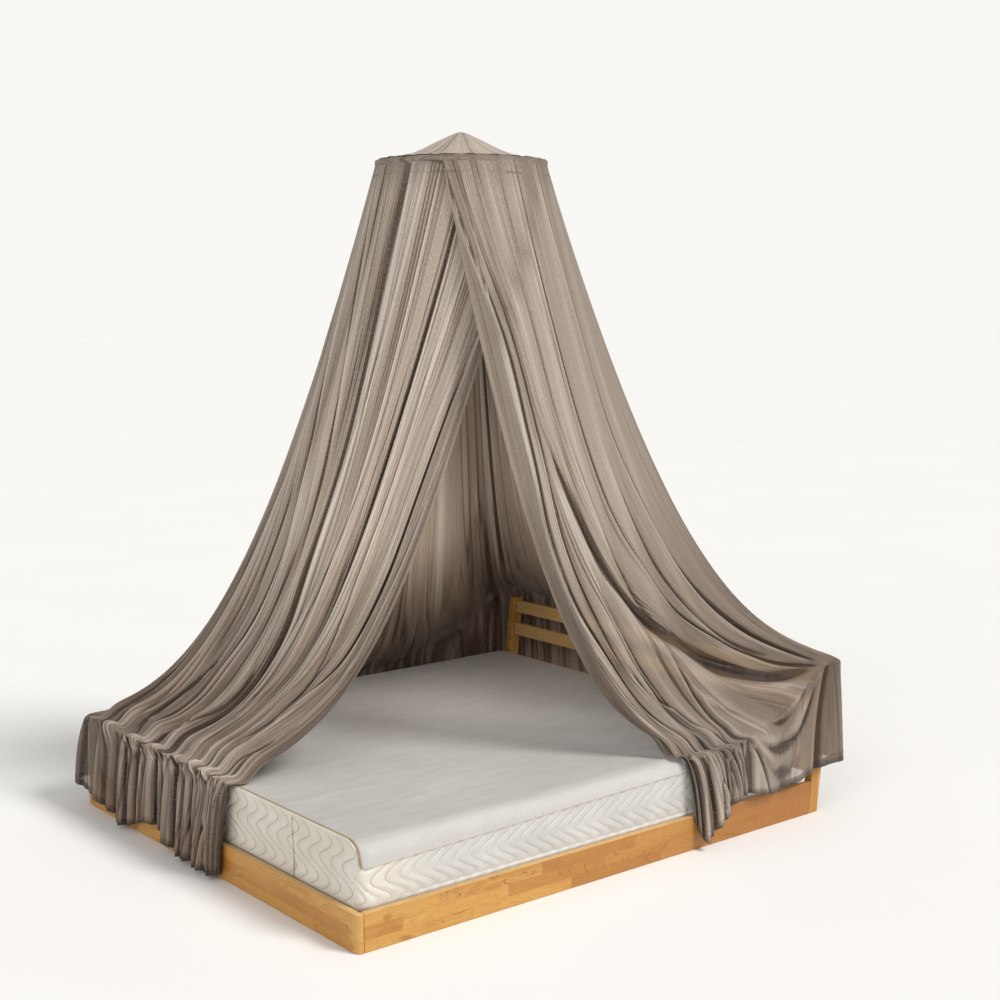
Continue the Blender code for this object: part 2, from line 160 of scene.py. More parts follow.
# ---- the net: creases, given one by one ---------------------------------------------------------------
# A place on a panel is (down, at): down is -1 at the top of the heading, 0 under it, 1 where the net bends
# over the bed and 2 at the hem, and at is the place along the panel, 0 at its front edge and 1 at the far
# post.
# The runs of the strongest folds, which are creases and which the cloth's threads follow:
LEFT_FRONT_RUN = [(-1, 0.212), (0.06, 0.226), (0.20, 0.228), (0.33, 0.221), (0.49, 0.211), (0.65, 0.222),
                  (0.80, 0.218), (0.93, 0.206), (1.12, 0.166), (1.50, 0.155), (2.0, 0.176)]
LEFT_SIDE_RUN = [(-1, 0.394), (0.05, 0.372), (0.20, 0.343), (0.33, 0.331), (0.44, 0.314), (0.64, 0.305),
                 (0.85, 0.320), (1.07, 0.299), (1.57, 0.279), (2.0, 0.280)]
RIGHT_FRONT_RUN = [(-1, 0.010), (0.05, 0.025), (0.10, 0.058), (0.20, 0.062), (0.30, 0.047), (0.40, 0.051),
                   (0.50, 0.070), (0.65, 0.085), (0.80, 0.102), (0.90, 0.112), (1.00, 0.136), (1.38, 0.124),
                   (2.0, 0.140)]
RIGHT_POST_RUN = [(-1, 0.246), (0.10, 0.229), (0.20, 0.243), (0.27, 0.258), (0.39, 0.306), (0.56, 0.373),
                  (0.68, 0.401), (0.85, 0.420), (1.00, 0.442)]
# Each crease has its half width as a share of the panel, its depth in millimetres (below 0: a ridge), its
# brow, the share of the depth by which the cloth beside it stands up (below 0: on the other side), and its
# run.
LEFT_CREASES = [
    (0.0035, 10, 0.5, [(-1, 0.463), (0.06, 0.464), (0.15, 0.414), (0.28, 0.372), (0.40, 0.350)]),
    (0.0060, 16, 0.4, LEFT_SIDE_RUN),
    (0.0026, 7, 0.5, [(-1, 0.385), (0.05, 0.362), (0.12, 0.349), (0.22, 0.333), (0.30, 0.322)]),
    (0.0028, 7, 0.6, [(-1, 0.330), (0.10, 0.331), (0.16, 0.328), (0.26, 0.336)]),
    (0.0026, 8, -0.6, [(-1, 0.285), (0.09, 0.280), (0.21, 0.271), (0.33, 0.274), (0.55, 0.270),
                       (0.76, 0.262)]),
    (0.0022, 5, 0.5, [(-1, 0.236), (0.06, 0.241), (0.14, 0.246), (0.30, 0.250), (0.48, 0.246)]),
    (0.0034, 17, 0.7, LEFT_FRONT_RUN),
    (0.0024, 8, 0.6, [(0.08, 0.199), (0.20, 0.194), (0.33, 0.189), (0.47, 0.165), (0.60, 0.152)]),
    (0.0038, 19, 0.6, [(0.07, 0.030), (0.11, 0.055), (0.17, 0.084), (0.25, 0.094), (0.36, 0.088),
                       (0.49, 0.097), (0.60, 0.126), (0.75, 0.138), (0.88, 0.140), (0.97, 0.112),
                       (1.38, 0.090), (2.0, 0.114)]),
    (0.0026, 8, 0.6, [(0.15, 0.012), (0.24, 0.046), (0.33, 0.054), (0.55, 0.053), (0.70, 0.066),
                      (0.85, 0.096), (1.07, 0.056), (1.50, 0.043), (2.0, 0.044)]),
    (0.0030, 9, -0.5, [(0.26, 0.120), (0.31, 0.112), (0.36, 0.136)]),
    (0.0032, 12, 0.5, [(0.44, 0.112), (0.49, 0.141), (0.58, 0.158), (0.72, 0.166), (0.86, 0.176)]),
    (0.0060, 13, 0.3, [(0.20, 0.520), (0.35, 0.520), (0.46, 0.519), (0.64, 0.508), (0.85, 0.508),
                       (0.96, 0.514), (1.50, 0.481), (2.0, 0.481)]),
    (0.0034, 11, 0.4, [(0.22, 0.470), (0.35, 0.453), (0.50, 0.442), (0.62, 0.460), (0.76, 0.464),
                       (0.91, 0.452), (1.10, 0.428), (1.50, 0.411), (2.0, 0.424)]),
    (0.0044, 12, 0.5, [(0.04, 0.530), (0.14, 0.487), (0.24, 0.444), (0.31, 0.418), (0.41, 0.409),
                       (0.55, 0.416), (0.70, 0.411), (0.84, 0.418), (0.91, 0.440), (1.12, 0.403),
                       (1.57, 0.401), (2.0, 0.404)]),
    (0.0030, 7, 0.5, [(0.52, 0.500), (0.60, 0.491), (0.79, 0.479), (0.90, 0.474)]),
    (0.0036, 10, -0.5, [(0.50, 0.330), (0.62, 0.322), (0.75, 0.336), (0.89, 0.379), (1.00, 0.376),
                        (1.12, 0.356), (1.55, 0.352), (2.0, 0.366)]),
    (0.0030, 8, 0.5, [(0.62, 0.190), (0.76, 0.186), (0.90, 0.178), (1.10, 0.124), (1.50, 0.121),
                      (2.0, 0.128)]),
    (0.0032, 8, 0.4, [(0.30, 0.385), (0.46, 0.372), (0.66, 0.360), (0.84, 0.352), (0.98, 0.335)]),
    (0.0026, 6, 0.5, [(0.26, 0.560), (0.40, 0.548), (0.60, 0.540), (0.84, 0.538)]),
    (0.0024, 6, 0.5, [(0.33, 0.297), (0.46, 0.292), (0.60, 0.284), (0.74, 0.288), (0.90, 0.300)]),
    (0.0034, 10, 0.4, [(1.00, 0.334), (1.20, 0.318), (1.57, 0.311), (2.0, 0.311)]),
    (0.0070, 13, 0.3, [(1.02, 0.258), (1.30, 0.240), (1.70, 0.226), (2.0, 0.232)]),
    (0.0030, 10, -0.4, [(1.01, 0.248), (1.32, 0.192), (1.60, 0.186), (2.0, 0.196)]),
    (0.0034, 9, 0.4, [(1.02, 0.462), (1.30, 0.452), (1.70, 0.450), (2.0, 0.455)]),
    (0.0030, 8, 0.4, [(1.02, 0.528), (1.30, 0.508), (1.70, 0.505), (2.0, 0.510)]),
    (0.0030, 8, 0.4, [(1.02, 0.385), (1.30, 0.377), (1.70, 0.379), (2.0, 0.384)]),
    (0.0026, 7, 0.4, [(1.00, 0.075), (1.30, 0.068), (1.70, 0.071), (2.0, 0.078)]),
    (0.0022, 6, 0.4, [(0.98, 0.030), (1.30, 0.024), (1.70, 0.020), (2.0, 0.024)]),
    (0.0040, 9, 0.4, [(1.02, 0.545), (1.30, 0.540), (2.0, 0.538)]),
]
RIGHT_CREASES = [
    (0.0036, 15, 0.7, RIGHT_FRONT_RUN),
    (0.0026, 8, 0.6, [(-1, 0.021), (0.04, 0.046), (0.10, 0.080), (0.20, 0.088), (0.30, 0.074),
                      (0.45, 0.090), (0.58, 0.104)]),
    (0.0024, 11, 0.5, RIGHT_POST_RUN),
    (0.0028, 13, 0.6, [(-1, 0.332), (0.03, 0.308), (0.12, 0.330), (0.21, 0.346), (0.29, 0.371),
                       (0.39, 0.395), (0.55, 0.421), (0.70, 0.434), (0.97, 0.446)]),
    (0.0120, 17, 0.3, [(0.18, 0.096), (0.28, 0.138), (0.37, 0.192), (0.46, 0.262), (0.54, 0.304),
                       (0.69, 0.356), (0.85, 0.392), (0.99, 0.440)]),
    (0.0036, 11, 0.6, [(0.46, 0.285), (0.51, 0.300), (0.61, 0.345), (0.74, 0.382)]),
    (0.0024, 8, 0.6, [(0.48, 0.267), (0.55, 0.270), (0.68, 0.261), (0.86, 0.251), (0.97, 0.256),
                      (1.25, 0.262)]),
    (0.0040, -7, 0.0, [(0.60, 0.260), (0.71, 0.272), (0.83, 0.286)]),
    (0.0034, 11, 0.5, [(0.50, 0.140), (0.60, 0.153), (0.71, 0.180), (0.82, 0.196), (0.90, 0.228),
                       (1.12, 0.240), (1.40, 0.236)]),
    (0.0042, 18, 0.5, [(0.52, 0.112), (0.66, 0.124), (0.78, 0.140), (0.88, 0.162), (0.95, 0.192),
                       (1.12, 0.190), (1.57, 0.198), (2.0, 0.212)]),
    (0.0030, 10, 0.4, [(0.93, 0.212), (1.10, 0.212), (1.43, 0.180), (2.0, 0.168)]),
    (0.0026, 7, 0.5, [(1.05, 0.258), (1.55, 0.245), (2.0, 0.243)]),
    (0.0034, 10, 0.4, [(1.15, 0.262), (1.40, 0.264), (1.65, 0.276), (2.0, 0.292)]),
    (0.0030, 8, 0.5, [(1.00, 0.100), (1.40, 0.092), (2.0, 0.090)]),
    (0.0030, 7, 0.5, [(1.00, 0.036), (1.40, 0.030), (2.0, 0.034)]),
    (0.0050, 12, 0.4, [(1.02, 0.447), (1.40, 0.438), (1.70, 0.429), (2.0, 0.424)]),
    (0.0050, 10, 0.4, [(1.02, 0.486), (1.40, 0.492), (2.0, 0.498)]),
    (0.0030, 7, 0.5, [(0.05, 0.140), (0.10, 0.200), (0.18, 0.224)]),
    (0.0028, 5, 0.5, [(0.10, 0.100), (0.20, 0.112), (0.30, 0.124), (0.42, 0.146), (0.55, 0.170)]),
    (0.0034, 7, 0.4, [(0.20, 0.290), (0.32, 0.322), (0.46, 0.362), (0.62, 0.398), (0.80, 0.425)]),
    (0.0034, 7, 0.4, [(0.15, 0.170), (0.30, 0.215), (0.42, 0.255), (0.52, 0.290)]),
]
# Folds that run across a panel, as where the net sags between two things that hold it. Each has its half
# width down the net, its depth in millimetres, and the places that it runs through, in order of at.
RIGHT_SAGS = [
    (0.055, 16, [(0.275, 1.36), (0.300, 1.55), (0.345, 1.66), (0.385, 1.62), (0.415, 1.44), (0.436, 1.15)]),
    (0.050, 9, [(0.262, 1.38), (0.290, 1.72), (0.335, 1.88), (0.388, 1.84)]),
    (0.060, 8, [(0.300, 1.06), (0.335, 1.28), (0.380, 1.28), (0.425, 1.02)]),
]
# The courses between which the cloth's threads run, as (down, at) again, from the front edge to the far post.
# They don't cross.
LEFT_COURSES = [
    [(-1, 0.000), (2.0, 0.000)],
    [(-1, 0.010), (0.04, 0.018), (0.11, 0.050), (0.18, 0.084), (0.36, 0.089), (0.49, 0.098), (0.62, 0.128),
     (0.86, 0.139), (0.97, 0.112), (1.38, 0.090), (2.0, 0.114)],
    LEFT_FRONT_RUN,
    LEFT_SIDE_RUN,
    [(-1, 0.548), (0.04, 0.530), (0.14, 0.487), (0.24, 0.444), (0.31, 0.420), (0.41, 0.409), (0.55, 0.416),
     (0.70, 0.411), (0.84, 0.418), (0.91, 0.440), (1.12, 0.403), (1.57, 0.401), (2.0, 0.404)],
    [(-1, 0.600), (0.10, 0.565), (0.20, 0.530), (0.35, 0.521), (0.46, 0.519), (0.64, 0.508), (0.85, 0.508),
     (0.96, 0.514), (1.50, 0.481), (2.0, 0.481)],
    [(-1, 0.640), (2.0, 0.600)],
    [(-1, 1.000), (2.0, 1.000)],
]
RIGHT_COURSES = [
    [(-1, 0.000), (2.0, 0.000)],
    RIGHT_FRONT_RUN,
    [(-1, 0.024), (0.05, 0.045), (0.10, 0.075), (0.20, 0.080), (0.30, 0.074), (0.45, 0.094), (0.58, 0.114),
     (0.66, 0.124), (0.78, 0.140), (0.88, 0.162), (0.95, 0.190), (1.12, 0.190), (1.57, 0.198), (2.0, 0.212)],
    [(-1, 0.036), (0.05, 0.058), (0.10, 0.086), (0.18, 0.098), (0.28, 0.138), (0.37, 0.192), (0.46, 0.258),
     (0.55, 0.266), (0.68, 0.261), (0.86, 0.251), (0.97, 0.256), (1.25, 0.262), (2.0, 0.290)],
    [(-1, 0.042), (0.05, 0.064), (0.10, 0.092), (0.18, 0.104), (0.28, 0.145), (0.37, 0.199), (0.46, 0.268),
     (0.54, 0.304), (0.69, 0.356), (0.85, 0.392), (0.99, 0.436), (1.20, 0.420), (2.0, 0.360)],
    RIGHT_POST_RUN + [(1.30, 0.440), (2.0, 0.420)],
    [(-1, 0.332), (0.03, 0.308), (0.12, 0.330), (0.21, 0.346), (0.29, 0.371), (0.39, 0.395), (0.55, 0.421),
     (0.70, 0.434), (0.97, 0.4465), (1.30, 0.452), (2.0, 0.447)],
    [(-1, 0.460), (0.60, 0.468), (1.00, 0.462), (2.0, 0.470)],
    [(-1, 0.560), (2.0, 0.540)],
    [(-1, 1.000), (2.0, 1.000)],
]
# down, and how much of a crease's depth and of its shade shows there
CREASE_STRENGTH = [(-1.0, 0.05), (0.0, 0.12), (0.05, 0.35), (0.12, 0.65), (0.30, 1.0), (0.60, 1.4),
                   (0.88, 1.2), (1.0, 0.45), (1.1, 0.8), (1.4, 1.2), (2.0, 1.3)]
CREASE_SHADE = [(-1.0, 0.4), (0.0, 0.7), (0.3, 1.05), (0.6, 1.35), (0.9, 1.35), (1.0, 1.0), (2.0, 1.1)]
# at, how close the cloth is in the fall and in the drop, from 0, all holes, to 1, and how pale it is painted
# there, as painted light and shade
LEFT_LOOKS = [(0.00, 0.88, 0.92, 1.00), (0.10, 0.84, 0.90, 1.00), (0.30, 0.82, 0.86, 0.97),
              (0.42, 0.82, 0.82, 0.82), (0.46, 0.82, 0.70, 0.74), (0.53, 0.82, 0.70, 0.66),
              (0.60, 1.00, 0.97, 0.56), (1.00, 1.02, 1.00, 0.54)]
RIGHT_LOOKS = [(0.00, 0.88, 0.88, 1.00), (0.06, 0.76, 0.84, 1.00), (0.18, 0.71, 0.76, 1.00),
               (0.26, 0.66, 0.68, 0.86), (0.42, 0.64, 0.68, 0.74), (0.50, 0.88, 0.88, 0.34),
               (0.60, 1.00, 0.97, 0.66), (1.00, 1.02, 1.00, 0.62)]
# down, and how pale the cloth is painted there: painted light and shade, paler high in the fall and darker
# lower down
LEFT_PALE = [(-1.0, 1.35), (0.0, 1.35), (0.25, 1.15), (0.45, 0.66), (0.62, 0.38), (0.80, 0.22), (0.93, 0.62),
             (1.0, 0.72), (1.1, 0.42), (2.0, 0.10)]
RIGHT_PALE = [(-1.0, 0.94), (0.0, 1.0), (0.25, 0.96), (0.45, 0.60), (0.62, 0.48), (0.80, 0.42), (0.95, 0.38),
              (1.1, 0.38), (2.0, 0.56)]
# at, and how much of the small folds shows there
LEFT_SMALL = [(0.0, 1.0), (1.0, 1.0)]
RIGHT_SMALL = [(0.0, 1.0), (0.25, 1.0), (0.30, 0.3), (0.42, 0.3), (0.47, 1.0), (1.0, 1.0)]
SEAM_LAP = 0.004  # share of the right panel that is lapped behind the left one at the far post

# Both panels. The pleats have the places along the panel between which they hang, and outward is 1 where at
# runs clockwise round the hoop, seen from above, and -1 where it runs the other way.
LEFT = {
    "lines": LEFT_LINES, "folds": LEFT_FOLDS, "creases": LEFT_CREASES, "sags": [], "courses": LEFT_COURSES,
    "looks": LEFT_LOOKS, "pale": LEFT_PALE, "small": LEFT_SMALL, "bend_out": BEND_OUT, "lap": 0.0,
    "laps": None, "outward": 1, "columns": 890, "seed": 11, "small_folds": 260, "puckers": 160,
    "pleats": (0.006, 0.45), "seam_lap": 0.0,
}
RIGHT = {
    "lines": RIGHT_LINES, "folds": RIGHT_FOLDS, "creases": RIGHT_CREASES, "sags": RIGHT_SAGS,
    "courses": RIGHT_COURSES, "looks": RIGHT_LOOKS, "pale": RIGHT_PALE, "small": RIGHT_SMALL,
    "bend_out": POST_BEND_OUT, "lap": LAP, "laps": LEFT, "outward": -1, "columns": 890, "seed": 21,
    "small_folds": 200, "puckers": 110, "pleats": (0.012, 0.27), "seam_lap": SEAM_LAP,
}

FOLDS_FADE = (0.975, 1.0)  # at, between which the folds fade out towards the seam at the far post


def smooth(value, low=0.0, high=1.0):
    """0 below low, 1 above high, and a soft step between."""
    t = np.clip((value - low) / (high - low), 0, 1)
    return t * t * (3 - 2 * t)


def between(table, place):
    """The values of a table's rows at the places given, along smooth curves through the rows."""
    table = np.array(table, float)
    known, values = table[:, 0], table[:, 1:]
    slope = np.gradient(values, known, axis=0)
    row = np.clip(np.searchsorted(known, place, side="right") - 1, 0, len(known) - 2)
    span = (known[row + 1] - known[row])[..., None]
    t = (place - known[row])[..., None] / span
    start = (2 * t**3 - 3 * t**2 + 1) * values[row] + (t**3 - 2 * t**2 + t) * span * slope[row]
    return start + (3 * t**2 - 2 * t**3) * values[row + 1] + (t**3 - t**2) * span * slope[row + 1]


def net_surface(panel, at, down):
    """Points of a panel without its folds, for arrays of places along it and down it."""
    line = between(panel["lines"], at)
    lap = panel["lap"] * np.interp(at, *zip(*LAP_FADE))
    radius = NET_RADIUS + lap
    radius = radius + (TOP_RADIUS + lap * TOP_LAP - radius) * smooth(-down, *DRAWN_IN) ** 2
    turn = np.radians(line[..., 0])
    land, hem = line[..., 1:4], line[..., 4:7]
    top = np.stack([HOOP[0] + radius * np.cos(turn), HOOP[1] + radius * np.sin(turn),
                    np.full(at.shape, HOOP[2] + ROOF_RIM - GAP - HEADING)], axis=-1)
    t = np.clip(down, 0, 1)[..., None]
    first = 3 * (1 - t) ** 2 * t
    second = 3 * (1 - t) * t**2
    out = first * BULGE_OUT_1 + second * BULGE_OUT_2 + t**3
    drop = first * BULGE_DOWN_1 + second * BULGE_DOWN_2 + t**3
    fall = top + (land - top) * np.concatenate([out, out, drop], axis=-1)
    low = MATTRESS_HIGH[2] + NO_REST_Z / 2
    sag = np.interp(land[..., 2], [low, low + NO_REST_Z / 2], [REST_SAG, 0])
    sag = sag * (1 - smooth(at, *REST_FADE))
    fall[..., 2] -= sag * np.exp(-(((t[..., 0] - REST_AT) / REST_HALF) ** 2))
    fall[..., 2] += HEADING * np.clip(-down, 0, 1) + (TOP_LIFT + lap * LAP_LIFT) * smooth(-down, *LIFTED)
    t = np.clip(down - 1, 0, 1)[..., None]
    over = np.stack([hem[..., 0], hem[..., 1], land[..., 2] - BEND_DROP], axis=-1)
    over = land + np.interp(at, *zip(*panel["bend_out"]))[..., None] * (over - land)
    drop = (1 - t) ** 2 * land + 2 * (1 - t) * t * over + t**2 * hem
    return np.where(down[..., None] > 1, drop, fall)


def around_hoop(points):
    """How far round the hoop's axis points lie, in radians from 0 to a full turn."""
    return np.arctan2(points[..., 1] - HOOP[1], points[..., 0] - HOOP[0]) % (2 * math.pi)


def share_down(down):
    """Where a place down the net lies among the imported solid's steps, from 0 to 1."""
    step = np.where(down < 0, 1 + down, np.where(down < 1, 1 + FALL_STEPS * down,
                                                 1 + FALL_STEPS + DROP_STEPS * (down - 1)))
    return step / (1 + FALL_STEPS + DROP_STEPS)


def bell(offset):
    """A soft ridge across: 1 in its middle and 0.4 at its half width."""
    return 1 / np.cosh(1.6 * np.clip(offset, -12, 12))


def fold_section(offset, brow, away, spread):
    """A fold across its run: its dip, and the brow of cloth that stands up beside it."""
    return bell(offset) - brow * bell((offset + away) / spread)


def soft_start(down, start, length):
    """The share of a fold that shows down the net: all of it where the fold comes out of the heading."""
    return smooth(down, start, start + length) if start > -0.5 else 1.0


def along_path(path, down):
    """The places along the panel of a crease or course. Over the bed's edge it runs on without a jog."""
    place = between(path, down)[..., 0]
    beyond = 0.02
    if path[0][0] > BEND_FROM - beyond or path[-1][0] < BEND_TO + beyond:
        return place
    known = between(path, np.array([BEND_FROM - beyond, BEND_FROM, BEND_TO, BEND_TO + beyond]))[:, 0]
    length = BEND_TO - BEND_FROM
    start_slope = (known[1] - known[0]) / beyond * length
    end_slope = (known[3] - known[2]) / beyond * length
    t = np.clip((down - BEND_FROM) / length, 0, 1)
    eased = (2 * t**3 - 3 * t**2 + 1) * known[1] + (t**3 - 2 * t**2 + t) * start_slope
    eased = eased + (3 * t**2 - 2 * t**3) * known[2] + (t**3 - t**2) * end_slope
    return np.where((down > BEND_FROM) & (down < BEND_TO), eased, place)


def crease_shape(creases, at, down):
    """How far the creases set the cloth back at their deepest, in millimetres, at arrays of places."""
    total = np.zeros(at.shape)
    for half, depth, brow, path in creases:
        start, end = path[0][0], path[-1][0]
        middle = along_path(path, np.clip(down, start, end))
        shape = fold_section((at - middle) / half, abs(brow), math.copysign(2.1, brow), 1.5)
        soft_end = 1 - smooth(down, end - 0.12, end) if end < 1.95 else 1.0
        total += depth * shape * soft_start(down, start, 0.09) * soft_end
    return total


def sag_shape(sags, at, down):
    """How far the folds that run across a panel set the cloth back, in millimetres."""
    total = np.zeros(at.shape)
    for half, depth, path in sags:
        start, end = path[0][0], path[-1][0]
        middle = between(path, np.clip(at, start, end))[..., 0]
        ends = smooth(at, start - 0.004, start + 0.03) * (1 - smooth(at, end - 0.03, end + 0.004))
        total += depth * fold_section((down - middle) / half, 0.4, 2.2, 1.6) * ends
    return total


CROWDS = 34  # stretches across the cloth in which the small folds are deeper or fainter


def small_folds(seed, count, width, thread, down):
    """Many slight folds along the threads between the creases: soft, long, and each at its own place."""
    draw = np.random.default_rng(seed)
    total = np.zeros(down.shape)
    crowds = draw.uniform(0.15, 1.0, CROWDS) ** 1.3 * 1.7
    for _ in range(count):
        middle = draw.uniform(0.0, width)
        crowd = np.interp(middle, np.linspace(0, width, len(crowds)), crowds)
        drift = draw.normal(0.0, 0.006)
        start = -1.0 if draw.random() < 0.5 else draw.uniform(0.0, 0.8)
        end = start + draw.uniform(0.6, 2.8)
        half = draw.uniform(0.0012, 0.0040)
        depth = draw.uniform(2.0, 7.5) * draw.choice([1.0, 1.0, -0.7]) * crowd
        offset = (thread - middle - drift * (down - 0.5)) / half
        shape = fold_section(offset, 0.45, 1.9, 1.3)
        total += depth * shape * soft_start(down, start, 0.15) * (1 - smooth(down, end - 0.25, end))
    return total


def pleats(seed, first, last, at, down):
    """The pipes into which the cloth falls under the edge of the bed."""
    draw = np.random.default_rng(seed)
    total = np.zeros(at.shape)
    place = first
    while place < last:
        half = draw.uniform(0.0026, 0.0056)
        depth = draw.uniform(5.0, 13.0)
        drift = draw.normal(0.0, 0.008)
        top = draw.uniform(0.84, 1.0)
        offset = (at - place - drift * (down - 1.0)) / half
        side = draw.choice([-1.0, 1.0])
        shape = fold_section(offset, 0.55, 2.0 * side, 1.4)
        total += depth * shape * smooth(down, top, top + draw.uniform(0.2, 0.5))
        place += draw.uniform(0.014, 0.030)
    return total


def puckers(seed, count, width, thread, down):
    """Short puckers where the net is bunched over the edge of the bed."""
    draw = np.random.default_rng(seed)
    total = np.zeros(down.shape)
    for _ in range(count):
        middle = draw.uniform(0.0, width)
        place = draw.normal(1.05, 0.09)
        slant = draw.uniform(-0.05, 0.05)
        half = draw.uniform(0.0014, 0.0030)
        length = draw.uniform(0.05, 0.16)
        depth = draw.uniform(0.6, 2.0) * draw.choice([1.0, -1.0])
        offset = (thread - middle - slant * (down - place)) / half
        total += depth * bell(offset) * np.exp(-(((down - place) / length) ** 2))
    return total


BEND_LIFT = 5.0  # millimetres by which the folds ride over the edge of the bed
LIFT_STARTS, LIFT_ENDS = (0.88, 0.98), (1.08, 1.4)  # down the net
MAIN_FOLD_SHADE = 250  # how dark a main fold looks, in millimetres of crease for each metre of its rise
ACROSS_SHADE = 0.7  # how dark sags and puckers look beside creases of the same depth
FULL_SHADE = 10.0  # millimetres of depth at which a fold is at its darkest


def fold_out(panel, at, thread, down, slack):
    """How far the cloth stands out from the plain surface, in metres, and how deep its folds look."""
    share = share_down(down)
    ease = between(panel["lines"], at)[..., 7] * np.interp(share, *zip(*EASE_STRENGTH))
    main = sum(rise * np.exp(-(((at - place) / half) ** 2)) for place, half, rise in panel["folds"])
    width, seed = panel["width"], panel["seed"]
    fine = crease_shape(panel["creases"], at, down)
    fine += small_folds(seed, panel["small_folds"], width, thread, down) * slack
    fine += pleats(seed + 2, *panel["pleats"], at, down)
    shade = fine * np.interp(down, *zip(*CREASE_SHADE)) - main * MAIN_FOLD_SHADE
    sagging = sag_shape(panel["sags"], at, down)
    puckered = puckers(seed + 1, panel["puckers"], width, thread, down) * slack
    fine = fine * np.interp(down, *zip(*CREASE_STRENGTH)) + sagging + puckered
    fine -= BEND_LIFT * smooth(down, *LIFT_STARTS) * (1 - smooth(down, *LIFT_ENDS))
    fine = fine * (1 - smooth(at, *FOLDS_FADE))
    out = main * np.interp(share, *zip(*FOLD_STRENGTH)) + ease - fine * MM
    return out, shade + (sagging + puckered) * ACROSS_SHADE


LYING = (0.5, 1.05)  # down the net, where it may lie on the mattress
OFF_RAILS = 0.004  # how far outside the bed's outline the net hangs beside the rails
OFF_MATTRESS = -0.024  # and above them, beside the mattress, which lies further in
OVER_RAILS = 0.006  # height over the rails up to which it keeps off them


def keep_off_bed(points, down):
    """Moves points that would reach into the bed out of it."""
    lying = (down > LYING[0]) & (down < LYING[1])
    points[..., 2] = np.where(lying, np.maximum(points[..., 2], REST_Z), points[..., 2])
    height = points[..., 2]
    middle = np.array([POST_LOW[0] / 2, BED_WIDTH / 2])
    beside = np.abs(points[..., :2] - middle) - middle
    outside = np.linalg.norm(np.maximum(beside, 0), axis=-1) + np.minimum(beside.max(axis=-1), 0)
    clear = np.where(height < RAIL_HIGH + OVER_RAILS, OFF_RAILS, OFF_MATTRESS)
    short = np.where((down > 1) & (height < MATTRESS_HIGH[2]), np.maximum(clear - outside, 0), 0)
    across = np.where((beside[..., 0] > beside[..., 1])[..., None], [1.0, 0.0], [0.0, 1.0])
    points[..., :2] += across * np.sign(points[..., :2] - middle) * short[..., None]
    return points


HEM_WIDTH = 0.062  # the folded hem down each panel's front edge
FRONT_HEM_STEPS = 10
BOTTOM_HEM = 0.014
CASING = 0.037  # height of the doubled band that holds the hoop
TURNED_IN = 0.002  # how far behind its edge a strip that is turned back starts
CASING_ROWS, BOTTOM_HEM_ROWS = 4, 3  # of the mesh, in the strips turned back
RETURN = 0.0016  # how far the front hem lies behind the cloth in front of it
TURNED_RETURN = 0.8  # the same for the casing and the bottom hem, as a share of that
PANEL_HEIGHT = 2.45  # metres of cloth from the top of the heading to the edge of the bed
DROP = 0.32  # and from there to the hem
CLOTH_WIDTH = 3.4  # metres of cloth across, for each unit of its threads' places
# stretches down a panel, and the mesh's rows in each: the heading, the fall, the bend and the drop
STRETCHES = [(-1, -0.76, 5), (-0.76, 0, 3), (0, 0.82, 44), (0.82, 0.95, 9), (0.95, 1.0, 7), (1.0, 1.25, 15),
             (1.25, 2.0, 15)]
EVEN_FROM, EVEN_TO = (0.90, 0.96), (1.3, 1.6)  # down the net, where the mesh is evened out over the bend
STITCHED_ROW = 3  # of the heading
ON_CLOTH, THROUGH_HEM = 0.0006, 0.0009  # how far the middle of the thread lies off the cloth
FAR_SIDE_COLUMNS = 0.36  # how close the mesh's columns are on the far side, beside 1 on the sides that show


def course_spans(courses):
    """Where each course lies across the cloth when every strip between two of them is at its widest."""
    down = np.linspace(-1, 2, 121)
    paths = np.array([along_path(path, down) for path in courses])
    return np.concatenate([[0], np.cumsum(np.diff(paths, axis=0).max(axis=1))])


def follow(courses, spans, thread, down):
    """The places along the panel through which threads run, at each row down it."""
    paths = np.array([along_path(path, down) for path in courses])
    strip = np.clip(np.searchsorted(spans, thread, side="right") - 1, 0, len(spans) - 2)
    share = (thread - spans[strip]) / (spans[strip + 1] - spans[strip])
    return paths[strip] + (paths[strip + 1] - paths[strip]) * share[:, None]


def threads(panel, spans):
    """Where the mesh's columns lie, closer together on the sides that show most."""
    fine = np.linspace(0, spans[-1] * (1 + panel["seam_lap"]), 4001)
    weight = np.where(fine < spans[-2], 1.0, FAR_SIDE_COLUMNS)
    total = np.concatenate([[0], np.cumsum((weight[1:] + weight[:-1]) / 2)])
    return np.interp(np.linspace(0, total[-1], panel["columns"]), total, fine)


def rows():
    """Places down a panel, with the casing and the hem turned back, and which rows are turned back."""
    parts = [np.linspace(start, end, steps, endpoint=False) for start, end, steps in STRETCHES]
    down = np.concatenate([*parts, [2.0]])
    casing = -HEADING + np.linspace(CASING, TURNED_IN, CASING_ROWS)
    casing_down = np.where(casing > 0, casing / PANEL_HEIGHT, casing / HEADING)
    hem_back = 2 - np.linspace(TURNED_IN, BOTTOM_HEM, BOTTOM_HEM_ROWS) / DROP
    place = np.concatenate([casing_down, down, hem_back])
    is_back = np.ones(len(place))
    is_back[CASING_ROWS:CASING_ROWS + len(down)] = 0
    return place, is_back


def soften(grid, weight, passes):
    """Evens out a grid's rows where weight says."""
    for _ in range(passes):
        middle = (grid[:, :-2] + grid[:, 2:]) / 2
        grid[:, 1:-1] += weight[None, 1:-1, None] * (middle - grid[:, 1:-1]) * 0.5
    return grid


def to_unit(vectors):
    return vectors / np.linalg.norm(vectors, axis=-1, keepdims=True)


